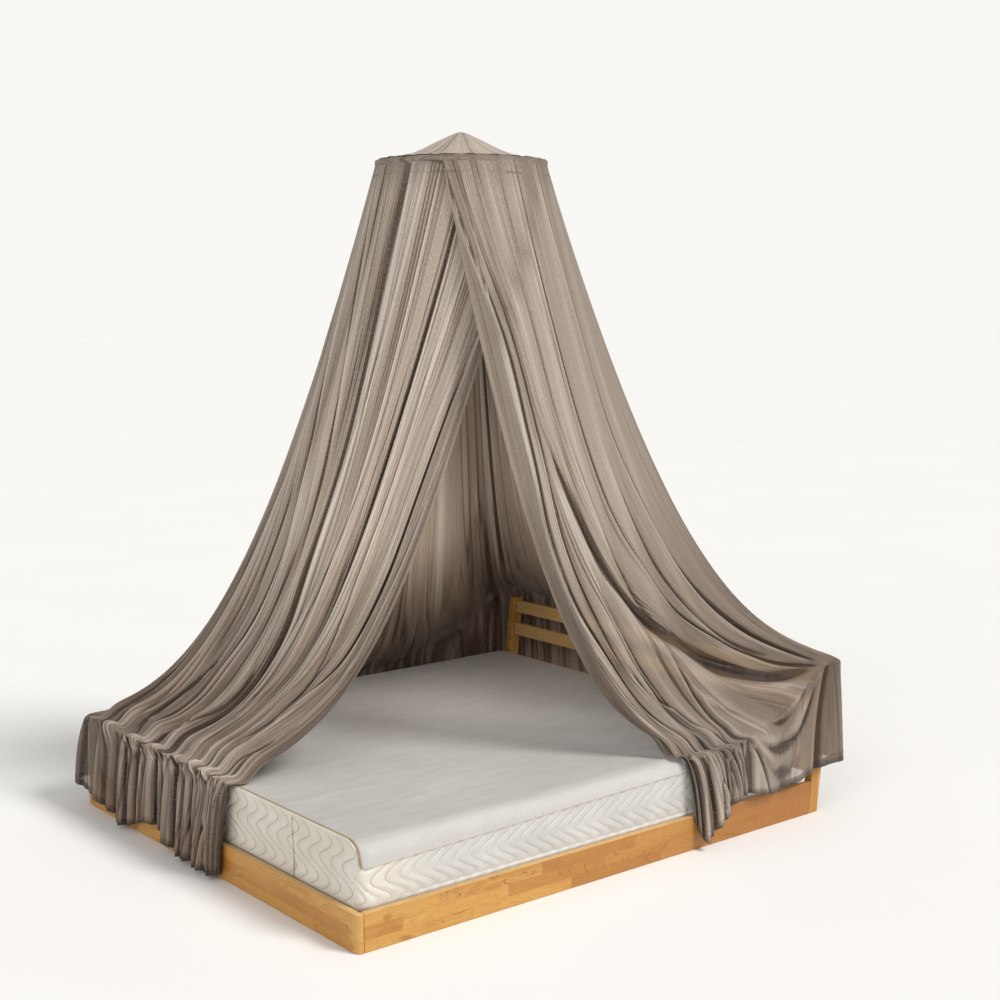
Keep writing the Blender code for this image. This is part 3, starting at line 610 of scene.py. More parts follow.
def metres_at_edge(panel, down):
    """Metres across a panel, beside its front edge, for each unit of at."""
    step = 0.03
    beside = net_surface(panel, np.full(down.shape, step), down)
    edge = net_surface(panel, np.zeros(down.shape), down)
    return np.linalg.norm((beside - edge) / step, axis=-1)


def facing(panel, at, down):
    """The directions that face out of a panel's plain surface."""
    small = 0.0015
    across = net_surface(panel, at + small, down) - net_surface(panel, at - small, down)
    onward = (net_surface(panel, at, np.minimum(down + small, 2))
              - net_surface(panel, at, np.maximum(down - small, -1)))
    return to_unit(np.cross(across, onward) * panel["outward"])


def doubling(panel, base, from_edge, place, down_cloth):
    """Where cloth lies behind cloth, from 0 to 1: at the hems, at the casing, and where the panels lap."""
    front_hem = (1 - smooth(from_edge, HEM_WIDTH - 0.001, HEM_WIDTH + 0.001)) * 0.8
    casing = 1 - smooth(down_cloth, CASING - 0.004, CASING + 0.002)
    hem_start = BOTTOM_HEM / DROP
    doubled = np.maximum(front_hem, casing)
    doubled = np.maximum(doubled, smooth(place, 2 - hem_start * 1.1, 2 - hem_start * 0.9))
    if panel["laps"]:
        # darkest where the other panel's folded edge lies behind, and fainter past it; over the lap the
        # finish paints this as painted shade of the panel seen behind
        down = place[0]
        other_edge = around_hoop(net_surface(panel["laps"], np.zeros(down.shape), down))
        past = other_edge[None, :] - around_hoop(base)
        lapped = smooth(past, 0.0, 0.02) * (0.34 + 0.66 * (1 - smooth(past, 0.13, 0.17))) * (past < 1.6)
        doubled = np.maximum(doubled, lapped * (1 - smooth(place, 0.36, 0.46)))
    return doubled


def net_panel(name, panel, finish):
    """One panel as a single sheet, folded back behind itself at its front edge, its hem and its heading."""
    spans = course_spans(panel["courses"])
    panel["width"] = spans[-1]
    along = threads(panel, spans)
    hem = np.linspace(1, 0, FRONT_HEM_STEPS, endpoint=False)
    front = len(hem) + 1
    columns = np.concatenate([np.zeros(front), along])
    in_hem = (np.arange(len(columns)) < len(hem))[:, None]
    hem_share = np.concatenate([hem, np.zeros(len(along) + 1)])[:, None]
    down, is_back = rows()

    at = follow(panel["courses"], spans, columns, down)
    place = np.broadcast_to(down, at.shape)
    thread = np.broadcast_to(columns[:, None], at.shape)
    unit = metres_at_edge(panel, place)
    at = np.where(in_hem, hem_share * HEM_WIDTH / unit, at)

    base = net_surface(panel, at, place)
    bend = smooth(down, *EVEN_FROM) * (1 - smooth(down, *EVEN_TO))
    normal = to_unit(soften(facing(panel, at, place), bend, 10))
    slack = np.ones(at.shape)
    slack[front:] = np.gradient(at[front:], axis=0) / np.gradient(thread[front:], axis=0)
    slack = np.clip(slack, 0.08, 1.0) ** 0.5 * np.interp(at, *zip(*panel["small"]))
    out, shade = fold_out(panel, at, thread, place, slack)
    points = keep_off_bed(soften(base + normal * out[..., None], bend, 3), place)
    behind = in_hem + np.zeros(place.shape)
    behind[len(hem)] = 0.5
    behind = (behind + is_back * TURNED_RETURN) * RETURN
    points = points - normal * behind[..., None]

    faces = grid_faces(*place.shape)
    if panel["outward"] > 0:
        faces = faces[:, ::-1]
    made = smooth_piece(name, points, faces.tolist(), finish)
    across_cloth = np.where(in_hem, -hem_share * HEM_WIDTH, thread * CLOTH_WIDTH)
    down_cloth = np.interp(place, [-1, 0, 1, 2], [0, HEADING, PANEL_HEIGHT, PANEL_HEIGHT + DROP])
    lay_pattern(made.data, across_cloth.ravel(), down_cloth.ravel())
    looks = np.array(panel["looks"])
    fall_cover, drop_cover, pale = (np.interp(at, looks[:, 0], looks[:, k]) for k in (1, 2, 3))
    # how deep each fold looks, which the net's finish paints as shade in creases and as a highlight on ridges
    write_value(made.data, "valley", np.clip(shade / FULL_SHADE, -1, 1))
    write_value(made.data, "doubled", doubling(panel, base, at * unit, place, down_cloth))
    write_value(made.data, "cover", fall_cover + (drop_cover - fall_cover) * smooth(place, 0.9, 1.1))
    write_value(made.data, "pale", pale * np.interp(place, *zip(*panel["pale"])))

    row = CASING_ROWS + STITCHED_ROW
    side = slice(row, -BOTTOM_HEM_ROWS)
    seams = [points[front:, row] + normal[front:, row] * ON_CLOTH,
             points[1, side] + normal[1, side] * (RETURN + THROUGH_HEM),
             points[front:, -1] + normal[front:, -1] * (TURNED_RETURN * RETURN + THROUGH_HEM)]
    return made, seams


# ---- meshes -------------------------------------------------------------------------------------------


def grid_faces(columns, rows_down):
    """The four-sided faces between the points of a grid."""
    first = (np.arange(columns - 1)[:, None] * rows_down + np.arange(rows_down - 1)).ravel()
    return np.stack([first, first + 1, first + rows_down + 1, first + rows_down], axis=1)


def ring_faces(columns, rows_down):
    """The same where the last column meets the first, and turned the other way."""
    first = np.arange(columns)[:, None] * rows_down + np.arange(rows_down - 1)
    onward = (np.arange(columns)[:, None] + 1) % columns * rows_down + np.arange(rows_down - 1)
    return np.stack([first, onward, onward + 1, first + 1], axis=-1).reshape(-1, 4)


def lay_pattern(mesh, across, down):
    """Gives a mesh its UV map, in metres of cloth across and down."""
    uv = mesh.uv_layers.new(name="cloth")
    corner = np.empty(len(mesh.loops), int)
    mesh.loops.foreach_get("vertex_index", corner)
    uv.data.foreach_set("uv", np.stack([across[corner], down[corner]], axis=1).ravel())


def write_value(mesh, name, values):
    """Stores a number for each point of a mesh, which its finish reads by name."""
    made = mesh.attributes.new(name, "FLOAT", "POINT")
    made.data.foreach_set("value", values.ravel().astype(np.float32))


def piece(name, mesh, finish):
    made = bpy.data.objects.new(name, mesh)
    mesh.materials.append(finish)
    bpy.context.scene.collection.objects.link(made)
    return made


def smooth_piece(name, points, faces, finish):
    """A smooth piece from points in the bed's own frame."""
    mesh = bpy.data.meshes.new(name)
    mesh.from_pydata((points + CORNER).reshape(-1, 3).tolist(), [], faces)
    made = piece(name, mesh, finish)
    mesh.shade_smooth()
    return made


# ---- finishes -----------------------------------------------------------------------------------------


class Wire:
    """A shader node's output. Python's operators on it add Math nodes, and node() adds any other."""

    def __init__(self, tree, output=None):
        self.tree = tree
        self.output = output

    def node(self, kind, settings=None, values=None, take=0):
        made = self.tree.nodes.new(kind)
        for name, value in (settings or {}).items():
            if name == "stops":
                set_stops(made.color_ramp, value)
            else:
                setattr(made, name, value)
        for name, value in (values or {}).items():
            if isinstance(value, Wire):
                self.tree.links.new(value.output, made.inputs[name])
            else:
                made.inputs[name].default_value = value
        return Wire(self.tree, made.outputs[take])

    def math(self, operation, *values):
        return self.node("ShaderNodeMath", {"operation": operation}, dict(enumerate(values)))

    def __add__(self, other):
        return self.math("ADD", self, other)

    def __radd__(self, other):
        return self.math("ADD", other, self)

    def __sub__(self, other):
        return self.math("SUBTRACT", self, other)

    def __rsub__(self, other):
        return self.math("SUBTRACT", other, self)

    def __mul__(self, other):
        return self.math("MULTIPLY", self, other)

    def __rmul__(self, other):
        return self.math("MULTIPLY", other, self)

    def __truediv__(self, other):
        return self.math("DIVIDE", self, other)

    def floor(self):
        return self.math("FLOOR", self)

    def fract(self):
        return self.math("FRACT", self)

    def clamp(self):
        return self.node("ShaderNodeClamp", None, {0: self})

    def step(self, low, high):
        """0 where this is below low, 1 where it is above high, and a soft step between."""
        return self.node("ShaderNodeMapRange", {"interpolation_type": "SMOOTHSTEP"},
                         {"Value": self, "From Min": low, "From Max": high})

    def ramp(self, *stops):
        return self.node("ShaderNodeValToRGB", {"stops": stops}, {0: self})


def set_stops(ramp, stops):
    while len(ramp.elements) < len(stops):
        ramp.elements.new(0.5)
    for element, (place, colour) in zip(ramp.elements, stops):
        element.position = place
        element.color = (*colour, 1.0)


def mix(share, low, high):
    """A colour between two, by share."""
    def full(colour):
        return colour if isinstance(colour, Wire) else (*colour, 1.0)

    tree = next(part for part in (share, low, high) if isinstance(part, Wire))
    return tree.node("ShaderNodeMix", {"data_type": "RGBA"}, {0: share, 6: full(low), 7: full(high)}, take=2)


def vector(x, y, z=0.0):
    tree = next(part for part in (x, y, z) if isinstance(part, Wire))
    return tree.node("ShaderNodeCombineXYZ", None, {0: x, 1: y, 2: z})


def noise(place, scale=1.0, detail=2.0, roughness=0.5, distortion=0.0):
    return place.node("ShaderNodeTexNoise", None, {
        "Vector": place, "Scale": scale, "Detail": detail, "Roughness": roughness, "Distortion": distortion})


def chance(place):
    """A value from 0 to 1 that is the same over each whole-numbered place."""
    return place.node("ShaderNodeTexWhiteNoise", {"noise_dimensions": "3D"}, {"Vector": place})


def bump(height, strength, distance, normal=None):
    values = {"Height": height, "Strength": strength, "Distance": distance}
    if normal is not None:
        values["Normal"] = normal
    return height.node("ShaderNodeBump", None, values)


def new_finish(name):
    made = bpy.data.materials.new(name)
    made.use_nodes = True
    tree = made.node_tree
    return made, Wire(tree), tree.nodes["Principled BSDF"]


def set_shader(shader, **values):
    for name, value in values.items():
        socket = shader.inputs[name.replace("_", " ")]
        if isinstance(value, Wire):
            value.tree.links.new(value.output, socket)
        else:
            socket.default_value = value


def split(place):
    """The three parts of a vector."""
    made = place.node("ShaderNodeSeparateXYZ", None, {0: place})
    outputs = made.output.node.outputs
    return [Wire(place.tree, outputs[k]) for k in range(3)]


def hairlines(place, width):
    """Thin lines along the contours of a stretched noise, for painted shade along fold lines, and a mask for
    the painted highlight on the cloth that stands up beside them.
    """
    level = noise(place, detail=1.0, roughness=0.4) - 0.5
    line = 1 - level.math("ABSOLUTE", level).step(0.0, width)
    beside = level - width * 1.5
    return line, 1 - beside.math("ABSOLUTE", beside).step(0.0, width)


def net_finish():
    """Sheer knit with painted light and shade: pale in the fall and dark and warm at the bed, painted shade
    in its creases and fold lines, painted highlights on its ridges and beside its fold lines, and a faint
    glitter of painted glints.
    """
    made, start, shader = new_finish("net")
    across, down, _ = split(start.node("ShaderNodeUVMap", {"uv_map": "cloth"}))
    valley, doubled, cover, pale = (start.node("ShaderNodeAttribute", {"attribute_name": name}, take=2)
                                    for name in ("valley", "doubled", "cover", "pale"))
    # the knit's own unevenness, from wide to fine, which is less where the cloth is open
    patches = noise(vector(across * 5, down * 1.4), detail=2)
    streaks = noise(vector(across * 38, down * 0.9), detail=3, roughness=0.65)
    fine_threads = noise(vector(across * 190, down * 14.0), detail=2, roughness=0.6)
    speckle = noise(vector(across * 240, down * 190), detail=2, roughness=0.7)
    calm = (0.80 - cover).step(0.0, 0.14)
    # fold lines, long ones and shorter ones that come and go: painted shade along each line and a painted
    # highlight on the brow beside it, which also set the bump and the cover
    long_fold_line, long_fold_brow = hairlines(vector(across * 9, down * 0.40), 0.026)
    short_fold_line, short_fold_brow = hairlines(vector(across * 26 + 7, down * 0.75), 0.040)
    fade = noise(vector(across * 7, down * 1.3 + 4), detail=1).step(0.40, 0.58)
    # the fold lines' painted shade, and the painted highlight on the brows beside them
    lines = (long_fold_line * 0.80 + short_fold_line * fade * 0.65).clamp() * (1 - calm * 0.7)
    beside = (long_fold_brow * 0.8 + short_fold_brow * fade * 0.55).clamp() * (1 - calm * 0.7)
    # colours, each from what it is at the bed to what it is high in the fall, as pale says: painted shade at
    # the bed and painted light in the fall
    low = mix(pale, (0.078, 0.042, 0.022), (0.405, 0.325, 0.262))
    high = mix(pale, (0.155, 0.096, 0.060), (0.650, 0.560, 0.480))
    # ridge: the painted highlight on ridges; deep: the painted shade in creases and along fold lines, also
    # the dark of the sewn line and of the knit's specks
    ridge = mix(pale, (0.320, 0.236, 0.172), (0.780, 0.715, 0.650))
    deep = mix(pale, (0.022, 0.012, 0.007), (0.088, 0.056, 0.036))
    warm_tint = mix(pale, (0.150, 0.086, 0.047), (0.560, 0.430, 0.320))
    behind = mix(pale, (0.060, 0.042, 0.030), (0.170, 0.124, 0.092))
    # shine: the colour of the painted glints on the silver flecks
    shine = mix(pale, (0.35, 0.27, 0.205), (0.78, 0.72, 0.66))

    tone = (streaks * 0.46 + fine_threads * 0.22 + patches * 0.44 - 0.06).step(0.34, 0.74)
    tone = tone + (0.55 - tone) * calm * 0.75
    colour = mix(tone, low, high)
    warm = noise(vector(across * 9 + 3, down * 1.1), detail=1).step(0.48, 0.64)
    colour = mix(warm * 0.30, colour, warm_tint)
    # painted highlight on ridges and on the brows beside fold lines, then painted shade in creases and along
    # fold lines
    colour = mix(((0 - valley).step(0.06, 0.55) * 0.80 + beside * 0.38).clamp(), colour, ridge)
    colour = mix((valley.step(0.05, 0.62) + lines * 0.66).clamp(), colour, deep)
    # darker where cloth lies behind cloth: at the hems and the casing the doubled cloth's own darker tone,
    # and over the lap painted shade of the shaded panel seen through
    colour = mix(doubled * 0.58, colour, behind)
    # the uneven line along which the casing is sewn down
    from_casing = down - CASING
    sewn = 1 - from_casing.math("ABSOLUTE", from_casing).step(0.0008, 0.0026)
    colour = mix(sewn * noise(vector(across * 2.2, 0.0)).step(0.46, 0.56) * 0.45, colour, deep)
    # the silver flecks: metallic, and painted toward a pale shine as painted glints
    glint = speckle.step(0.54, 0.68)
    colour = mix(glint * 0.40, colour, shine)
    colour = mix(speckle.step(0.48, 0.34) * 0.30, colour, deep)

    holes = (speckle - 0.5) * 0.24 + (fine_threads - 0.5) * 0.12 + (streaks - 0.5) * 0.12 * (1 - calm)
    cover = (cover + valley.step(0.05, 0.60) * 0.14 + lines * 0.10 + doubled * 0.10 + holes).clamp()
    relief = bump(streaks, 0.35, 0.006)
    relief = bump(beside * 0.5 - lines, 0.45, 0.0030, relief)
    relief = bump(fine_threads, 0.24, 0.0014, relief)
    relief = bump(speckle, 0.45, 0.0009, relief)
    set_shader(shader, Base_Color=colour, Roughness=0.46 + fine_threads * 0.2, Metallic=0.05 + glint * 0.28,
               Alpha=cover, Normal=relief, Specular_IOR_Level=0.36, Sheen_Weight=0.08, Sheen_Roughness=0.4)
    return made


STAVE = 0.0417  # height of the staves that a board is glued up from
STAVE_START = 0.05  # where the lowest stave starts, as a share of a stave
BLOCK = 0.42  # length of the blocks that are finger-jointed into a stave
FINGER, FINGERS = 0.010, 150  # length of a joint's fingers, and how many there are to a metre
NEAR_DARK = (1.10, 0.90)  # where along the bed the near rail starts to darken, and over what length


def oak_finish(name, along, seed, tint=0.0):
    """Oak boards glued up from staves and finger-jointed along their length, which runs along one axis."""
    made, start, shader = new_finish(name)
    x, y, z = split(start.node("ShaderNodeTexCoord", take=3))
    length, height, depth = {"x": (x, z, y), "y": (y, z, x), "z": (z, x, y)}[along]
    is_glued_up = along != "z"
    stave_place = height / STAVE + STAVE_START if is_glued_up else height * 3
    stave = stave_place.floor()
    run = length + height.math("PINGPONG", height * FINGERS, 0.5) * FINGER + chance(vector(stave, seed)) * 0.7
    block = (run / BLOCK).floor()
    luck = chance(vector(stave, block, seed))
    shift = chance(vector(block, stave, seed + 5)) * 9

    drift = noise(vector(length * 3 + shift, height * 8, depth * 8), detail=1)
    grain = noise(vector(length * 4 + shift, height * 70 + drift * 6, depth * 70), detail=4, roughness=0.6)
    figure = noise(vector(length * 2.4 + shift, height * 16 + shift, depth * 16), detail=2, distortion=1.2)
    rings = (figure * 11).fract().step(0.55, 1.0)
    pores = noise(vector(length * 30, height * 900, depth * 900), detail=1)
    knot = noise(vector(length * 9 + shift, height * 22 + shift, depth * 22), detail=0).step(0.74, 0.84)
    swirl = noise(vector(length * 5 + shift, height * 15 - shift, depth * 15), detail=1, distortion=1.6) - 0.5
    near_knot = noise(vector(length * 3.4 - shift, height * 9, depth * 9), detail=0).step(0.50, 0.60)
    outline = (1 - swirl.math("ABSOLUTE", swirl).step(0.006, 0.026)) * near_knot

    tone = (luck.math("POWER", luck, 2.2) * 0.50 + grain * 0.30 + figure * 0.26).clamp()
    colour = tone.ramp((0.14, (0.640, 0.365, 0.090)), (0.40, (0.560, 0.295, 0.064)),
                       (0.66, (0.465, 0.215, 0.038)), (0.95, (0.345, 0.128, 0.020)))
    colour = mix(rings * (0.52 if tint else 0.34), colour, (0.36, 0.150, 0.024))
    colour = mix(outline * 0.66, colour, (0.255, 0.088, 0.014))
    colour = mix(swirl.step(0.03, 0.09) * near_knot * 0.45, colour, (0.420, 0.160, 0.028))
    colour = mix(knot * 0.60, colour, (0.27, 0.090, 0.016))
    colour = mix(pores.step(0.56, 0.70) * 0.36, colour, (0.26, 0.10, 0.02))
    # the foot rail's painted shade: a warmer, more saturated oak
    if tint:
        colour = mix(tint, colour, (0.545, 0.240, 0.030))
        end_grain = 1 - (y - (float(CORNER[1]) + 0.024)).step(0.0, 0.004)
        colour = mix(end_grain * 0.40, colour, (0.62, 0.38, 0.13))
    relief = grain + pores * 0.5
    if is_glued_up:
        joint = 1 - run.math("PINGPONG", (run / BLOCK).fract(), 0.5).step(0.0, 0.003)
        seam = 1 - height.math("PINGPONG", stave_place.fract(), 0.5).step(0.0, 0.014)
        lines = (joint * 0.8 + seam * 0.4).clamp()
        colour = mix(lines * 0.34, colour, (0.22, 0.085, 0.016))
        # painted highlight along the rail's rounded top edge, where it catches the light, varied by the grain
        painted_edge_highlight = (z - (RAIL_HIGH - 0.0034)).step(0.0, 0.0022) * (0.95 - grain * 0.5)
        colour = mix(painted_edge_highlight * 0.75, colour, (0.74, 0.53, 0.25))
        relief = relief - lines * 1.2
    if along == "x":
        dark = (x - (float(CORNER[0]) + NEAR_DARK[0])).step(0.0, NEAR_DARK[1])
        colour = mix(dark * 0.56 + 0.10, colour, (0.310, 0.104, 0.014))
    set_shader(shader, Base_Color=colour, Roughness=0.38 + grain * 0.22, Normal=bump(relief, 0.25, 0.0006),
               Coat_Weight=0.18, Coat_Roughness=0.32)
    return made


def plywood_finish():
    """The platform's plain board, with a fine grain."""
    made, start, shader = new_finish("plywood")
    x, y, z = split(start.node("ShaderNodeTexCoord", take=3))
    grain = noise(vector(x * 3, y * 60, z * 300), detail=4, roughness=0.6, distortion=0.4)
    colour = grain.ramp((0.30, (0.52, 0.37, 0.22)), (0.70, (0.72, 0.57, 0.39)))
    set_shader(shader, Base_Color=colour, Roughness=0.62 + grain * 0.15, Normal=bump(grain, 0.25, 0.0006))
    return made


def hoop_finish():
    """The hoop's painted wire, a little scuffed."""
    made, start, shader = new_finish("hoop_wire")
    place = start.node("ShaderNodeTexCoord", take=3)
    wear = noise(place, scale=60, detail=3)
    colour = wear.ramp((0.30, (0.20, 0.16, 0.12)), (0.75, (0.34, 0.28, 0.22)))
    set_shader(shader, Base_Color=colour, Roughness=0.42 + wear * 0.2, Metallic=0.6,
               Normal=bump(wear, 0.2, 0.0004))
    return made


def knit_finish():
    """The mattress's top: a pale knit, ribbed where it turns down the sides, which are painted paler as
    painted light, with painted shade in the ribs' grooves.
    """
    made, start, shader = new_finish("mattress_knit")
    place = start.node("ShaderNodeTexCoord", take=3)
    x, y, z = split(place)
    side = 1 - z.step(MATTRESS_HIGH[2] - 0.020, MATTRESS_HIGH[2] - 0.004)
    ribs = x.math("PINGPONG", x * 66 + noise(place, scale=5) * 0.4, 0.5) * 2
    loops = noise(vector(x * 420, y * 420, z * 420), detail=1)
    waves = noise(vector(x * 7, y * 30, z * 7), detail=3, roughness=0.55, distortion=0.4)
    tint = noise(place, scale=2.6, detail=2)
    tone = (waves * 0.45 + tint * 0.35 + loops * 0.25).step(0.30, 0.75)
    colour = mix(tone, (0.442, 0.430, 0.412), (0.520, 0.511, 0.498))
    # painted light: the knit is painted paler where it turns down the sides
    colour = mix(side * 0.45, colour, (0.600, 0.592, 0.578))
    # painted shade in the grooves between the ribs
    rib_groove_shade = side * (1 - ribs.step(0.0, 0.22))
    colour = mix(rib_groove_shade * 0.30, colour, (0.50, 0.475, 0.43))
    relief = bump(waves, 0.22, 0.010)
    relief = bump(ribs * side, 0.45, 0.0016, relief)
    relief = bump(loops, 0.35, 0.0008, relief)
    set_shader(shader, Base_Color=colour, Roughness=0.84 - tone * 0.08, Normal=relief, Sheen_Weight=0.12,
               Sheen_Roughness=0.5)
    return made


def border_finish():
    """The mattress's quilted border: cream at the foot, paler down the near side, white at its foot."""
    made, start, shader = new_finish("mattress_border")
    place = start.node("ShaderNodeTexCoord", take=3)
    x, y, z = split(place)
    from_foot = (x - (float(CORNER[0]) + 0.07)).step(0.0, 0.30)
    weave = noise(vector(x * 520, y * 520, z * 520), detail=1)
    cloud = noise(place, scale=9, detail=3)
    tone = (cloud * 0.6 + weave * 0.4).step(0.30, 0.72)
    cream = mix(tone, (0.625, 0.585, 0.505), (0.720, 0.700, 0.645))
    pale = mix(tone, (0.495, 0.488, 0.470), (0.590, 0.584, 0.568))
    colour = mix(from_foot, cream, pale)
    binding = 1 - z.step(MATTRESS_LOW[2] + 0.027, MATTRESS_LOW[2] + 0.030)
    colour = mix(binding * from_foot, colour, (0.80, 0.81, 0.83))
    relief = bump(weave, 0.30, 0.0006)
    set_shader(shader, Base_Color=colour, Roughness=0.80 + weave * 0.1, Normal=relief,
               Sheen_Weight=0.12, Sheen_Roughness=0.5)
    return made


TWIST = 900  # how fine the twist of the cords and threads is


def cord_finish():
    """The border's quilting cords: tan at the foot, white down the near side."""
    made, start, shader = new_finish("quilting_cord")
    place = start.node("ShaderNodeTexCoord", take=3)
    from_foot = (split(place)[0] - (float(CORNER[0]) + 0.07)).step(0.0, 0.24)
    twist = noise(place, scale=TWIST, detail=2)
    tan = mix(twist, (0.400, 0.320, 0.215), (0.560, 0.475, 0.350))
    white = mix(twist, (0.700, 0.690, 0.665), (0.790, 0.785, 0.765))
    set_shader(shader, Base_Color=mix(from_foot, tan, white), Roughness=0.70 + twist * 0.15,
               Normal=bump(twist, 0.35, 0.0004), Sheen_Weight=0.1)
    return made


def thread_finish(name, dark, light):
    """A cord, tape or thread: two tones of twist across it."""
    made, start, shader = new_finish(name)
    place = start.node("ShaderNodeTexCoord", take=3)
    twist = noise(place, scale=TWIST, detail=2)
    set_shader(shader, Base_Color=twist.ramp((0.30, dark), (0.70, light)), Roughness=0.72 + twist * 0.15,
               Normal=bump(twist, 0.35, 0.0004), Sheen_Weight=0.1)
    return made


def floor_finish():
    made, start, shader = new_finish("floor")
    place = start.node("ShaderNodeTexCoord", take=3)
    cloud = noise(place, scale=0.8, detail=3)
    set_shader(shader, Base_Color=cloud.ramp((0.30, (0.895, 0.895, 0.893)), (0.70, (0.910, 0.910, 0.908))),
               Roughness=0.75)
    return made


# ---- shapes that are swept or strewn by Geometry Nodes ------------------------------------------------


def new_tree(name, inputs):
    """A Geometry Nodes tree with a geometry input and output and the named sizes."""
    tree = bpy.data.node_groups.new(name, "GeometryNodeTree")
    sides = tree.interface
    sides.new_socket("Geometry", in_out="INPUT", socket_type="NodeSocketGeometry")
    for label, (kind, value) in inputs.items():
        made = sides.new_socket(label, in_out="INPUT", socket_type=kind)
        if value is not None:
            made.default_value = value
    sides.new_socket("Geometry", in_out="OUTPUT", socket_type="NodeSocketGeometry")
    start = tree.nodes.new("NodeGroupInput")
    end = tree.nodes.new("NodeGroupOutput")
    return tree, start, end


def chain(tree, kind, values, settings=None):
    """Adds a node to a tree, with the values or links of its inputs."""
    made = tree.nodes.new(kind)
    for name, value in (settings or {}).items():
        setattr(made, name, value)
    for name, value in values.items():
        if isinstance(value, bpy.types.NodeSocket):
            tree.links.new(value, made.inputs[name])
        else:
            made.inputs[name].default_value = value
    return made


def sweep_tree():
    """Sweeps a round cord along every edge of the lines that it is given."""
    tree, start, end = new_tree("swept cord", {
        "Radius": ("NodeSocketFloat", 0.002), "Sides": ("NodeSocketInt", 6),
        "Finish": ("NodeSocketMaterial", None)})
    line = chain(tree, "GeometryNodeMeshToCurve", {"Mesh": start.outputs["Geometry"]})
    ring = chain(tree, "GeometryNodeCurvePrimitiveCircle", {
        "Resolution": start.outputs["Sides"], "Radius": start.outputs["Radius"]})
    tube = chain(tree, "GeometryNodeCurveToMesh", {
        "Curve": line.outputs[0], "Profile Curve": ring.outputs[0], "Fill Caps": True})
    round_off = chain(tree, "GeometryNodeSetShadeSmooth", {"Geometry": tube.outputs[0]})
    real = chain(tree, "GeometryNodeRealizeInstances", {"Geometry": round_off.outputs[0]})
    finish = chain(tree, "GeometryNodeSetMaterial", {
        "Geometry": real.outputs[0], "Material": start.outputs["Finish"]})
    tree.links.new(finish.outputs[0], end.inputs[0])
    return tree


def stitch_tree():
    """Lays short stitches end to end along the lines that it is given."""
    tree, start, end = new_tree("row of stitches", {
        "Pitch": ("NodeSocketFloat", 0.005), "Stitch": ("NodeSocketFloat", 0.0032),
        "Thread": ("NodeSocketFloat", 0.0005), "Finish": ("NodeSocketMaterial", None)})
    line = chain(tree, "GeometryNodeMeshToCurve", {"Mesh": start.outputs["Geometry"]})
    spots = chain(tree, "GeometryNodeCurveToPoints", {
        "Curve": line.outputs[0], "Length": start.outputs["Pitch"]}, {"mode": "LENGTH"})
    stitch = chain(tree, "GeometryNodeMeshCylinder", {
        "Vertices": 5, "Radius": start.outputs["Thread"], "Depth": start.outputs["Stitch"]})
    laid = chain(tree, "GeometryNodeInstanceOnPoints", {
        "Points": spots.outputs["Points"], "Instance": stitch.outputs["Mesh"],
        "Rotation": spots.outputs["Rotation"]})
    real = chain(tree, "GeometryNodeRealizeInstances", {"Geometry": laid.outputs[0]})
    finish = chain(tree, "GeometryNodeSetMaterial", {
        "Geometry": real.outputs[0], "Material": start.outputs["Finish"]})
    tree.links.new(finish.outputs[0], end.inputs[0])
    return tree


def grown(name, lines, tree, finish, **sizes):
    """A plain mesh made by a tree along lines of points in the bed's own frame."""
    points, edges = [], []
    for line in lines:
        first = len(points)
        points += [tuple(np.array(point) + CORNER) for point in line]
        edges += [(k, k + 1) for k in range(first, len(points) - 1)]
    mesh = bpy.data.meshes.new(name + " line")
    mesh.from_pydata(points, edges, [])
    guide = bpy.data.objects.new(name + " line", mesh)
    bpy.context.scene.collection.objects.link(guide)
    grow = guide.modifiers.new("grow", "NODES")
    grow.node_group = tree
    identifiers = {item.name: item.identifier for item in tree.interface.items_tree if item.in_out == "INPUT"}
    grow[identifiers["Finish"]] = finish
    for label, value in sizes.items():
        grow[identifiers[label]] = value
    graph = bpy.context.evaluated_depsgraph_get()
    result = bpy.data.meshes.new_from_object(guide.evaluated_get(graph), depsgraph=graph)
    bpy.data.objects.remove(guide)
    result.name = name
    made = bpy.data.objects.new(name, result)
    bpy.context.scene.collection.objects.link(made)
    return made


# ---- the mattress -------------------------------------------------------------------------------------

MATTRESS_CORNER = 0.048
LOWER_ROUND = 0.020
FOOT_ROUND = 0.014  # rounding of the top edge at the foot and head
SIDE_ROUND = 0.054  # and along both sides, where the knit top is wrapped over
PANEL_IN = 0.010  # how far the knit top stops short of the mattress's foot
SEAM_FOOT_Z = 0.249  # height of the seam under the knit top, at the foot of the bed
SEAM_RISE = 0.0246  # metres that the seam climbs for each metre towards the head
CORD_TURN = 0.130  # height over which a cord swings out and back
CORD_SIDE = (0.0545, 0.039, 0.205, 0.0)  # pitch, swing, height of the turn to the left, and lean
CORD_FOOT = (0.0630, 0.046, 0.232, 0.36)
HIDDEN_IN = 0.022  # how far the border is drawn in under the knit top
BORDER_SEAM_Y = 0.40  # where the border's two ends are sewn together, at the foot
BORDER_COLUMNS, UPRIGHT_ROWS, ROUND_ROWS = 1640, 39, 6  # of the border's mesh
UNDERSIDE_IN = [0.30, 0.12]  # how far in the rings that close the border's underside lie
RIM_IN, RIM_DOWN = 0.012, 0.0035  # how far in and down the border's last ring lies, under the knit top
PUFF, CORD_IN = 0.0052, 0.0026  # how far the border puffs up between its cords, which hold it in
CORD_RADIUS = 0.0013
KNIT_OUT = 0.0022  # how far the knit top stands out from the mattress's sides
KNIT_SLACK = 0.0022  # how far it lies below the mattress's plain top between its ripples
KNIT_END_IN, KNIT_END_DOWN = 0.006, 0.0030  # how its ends are drawn in at the sides, and pressed down
SIDE_STEPS, TURN_STEPS, FLAT_ROWS = 8, 12, 148  # of its mesh, up a side, round its edge and across the top
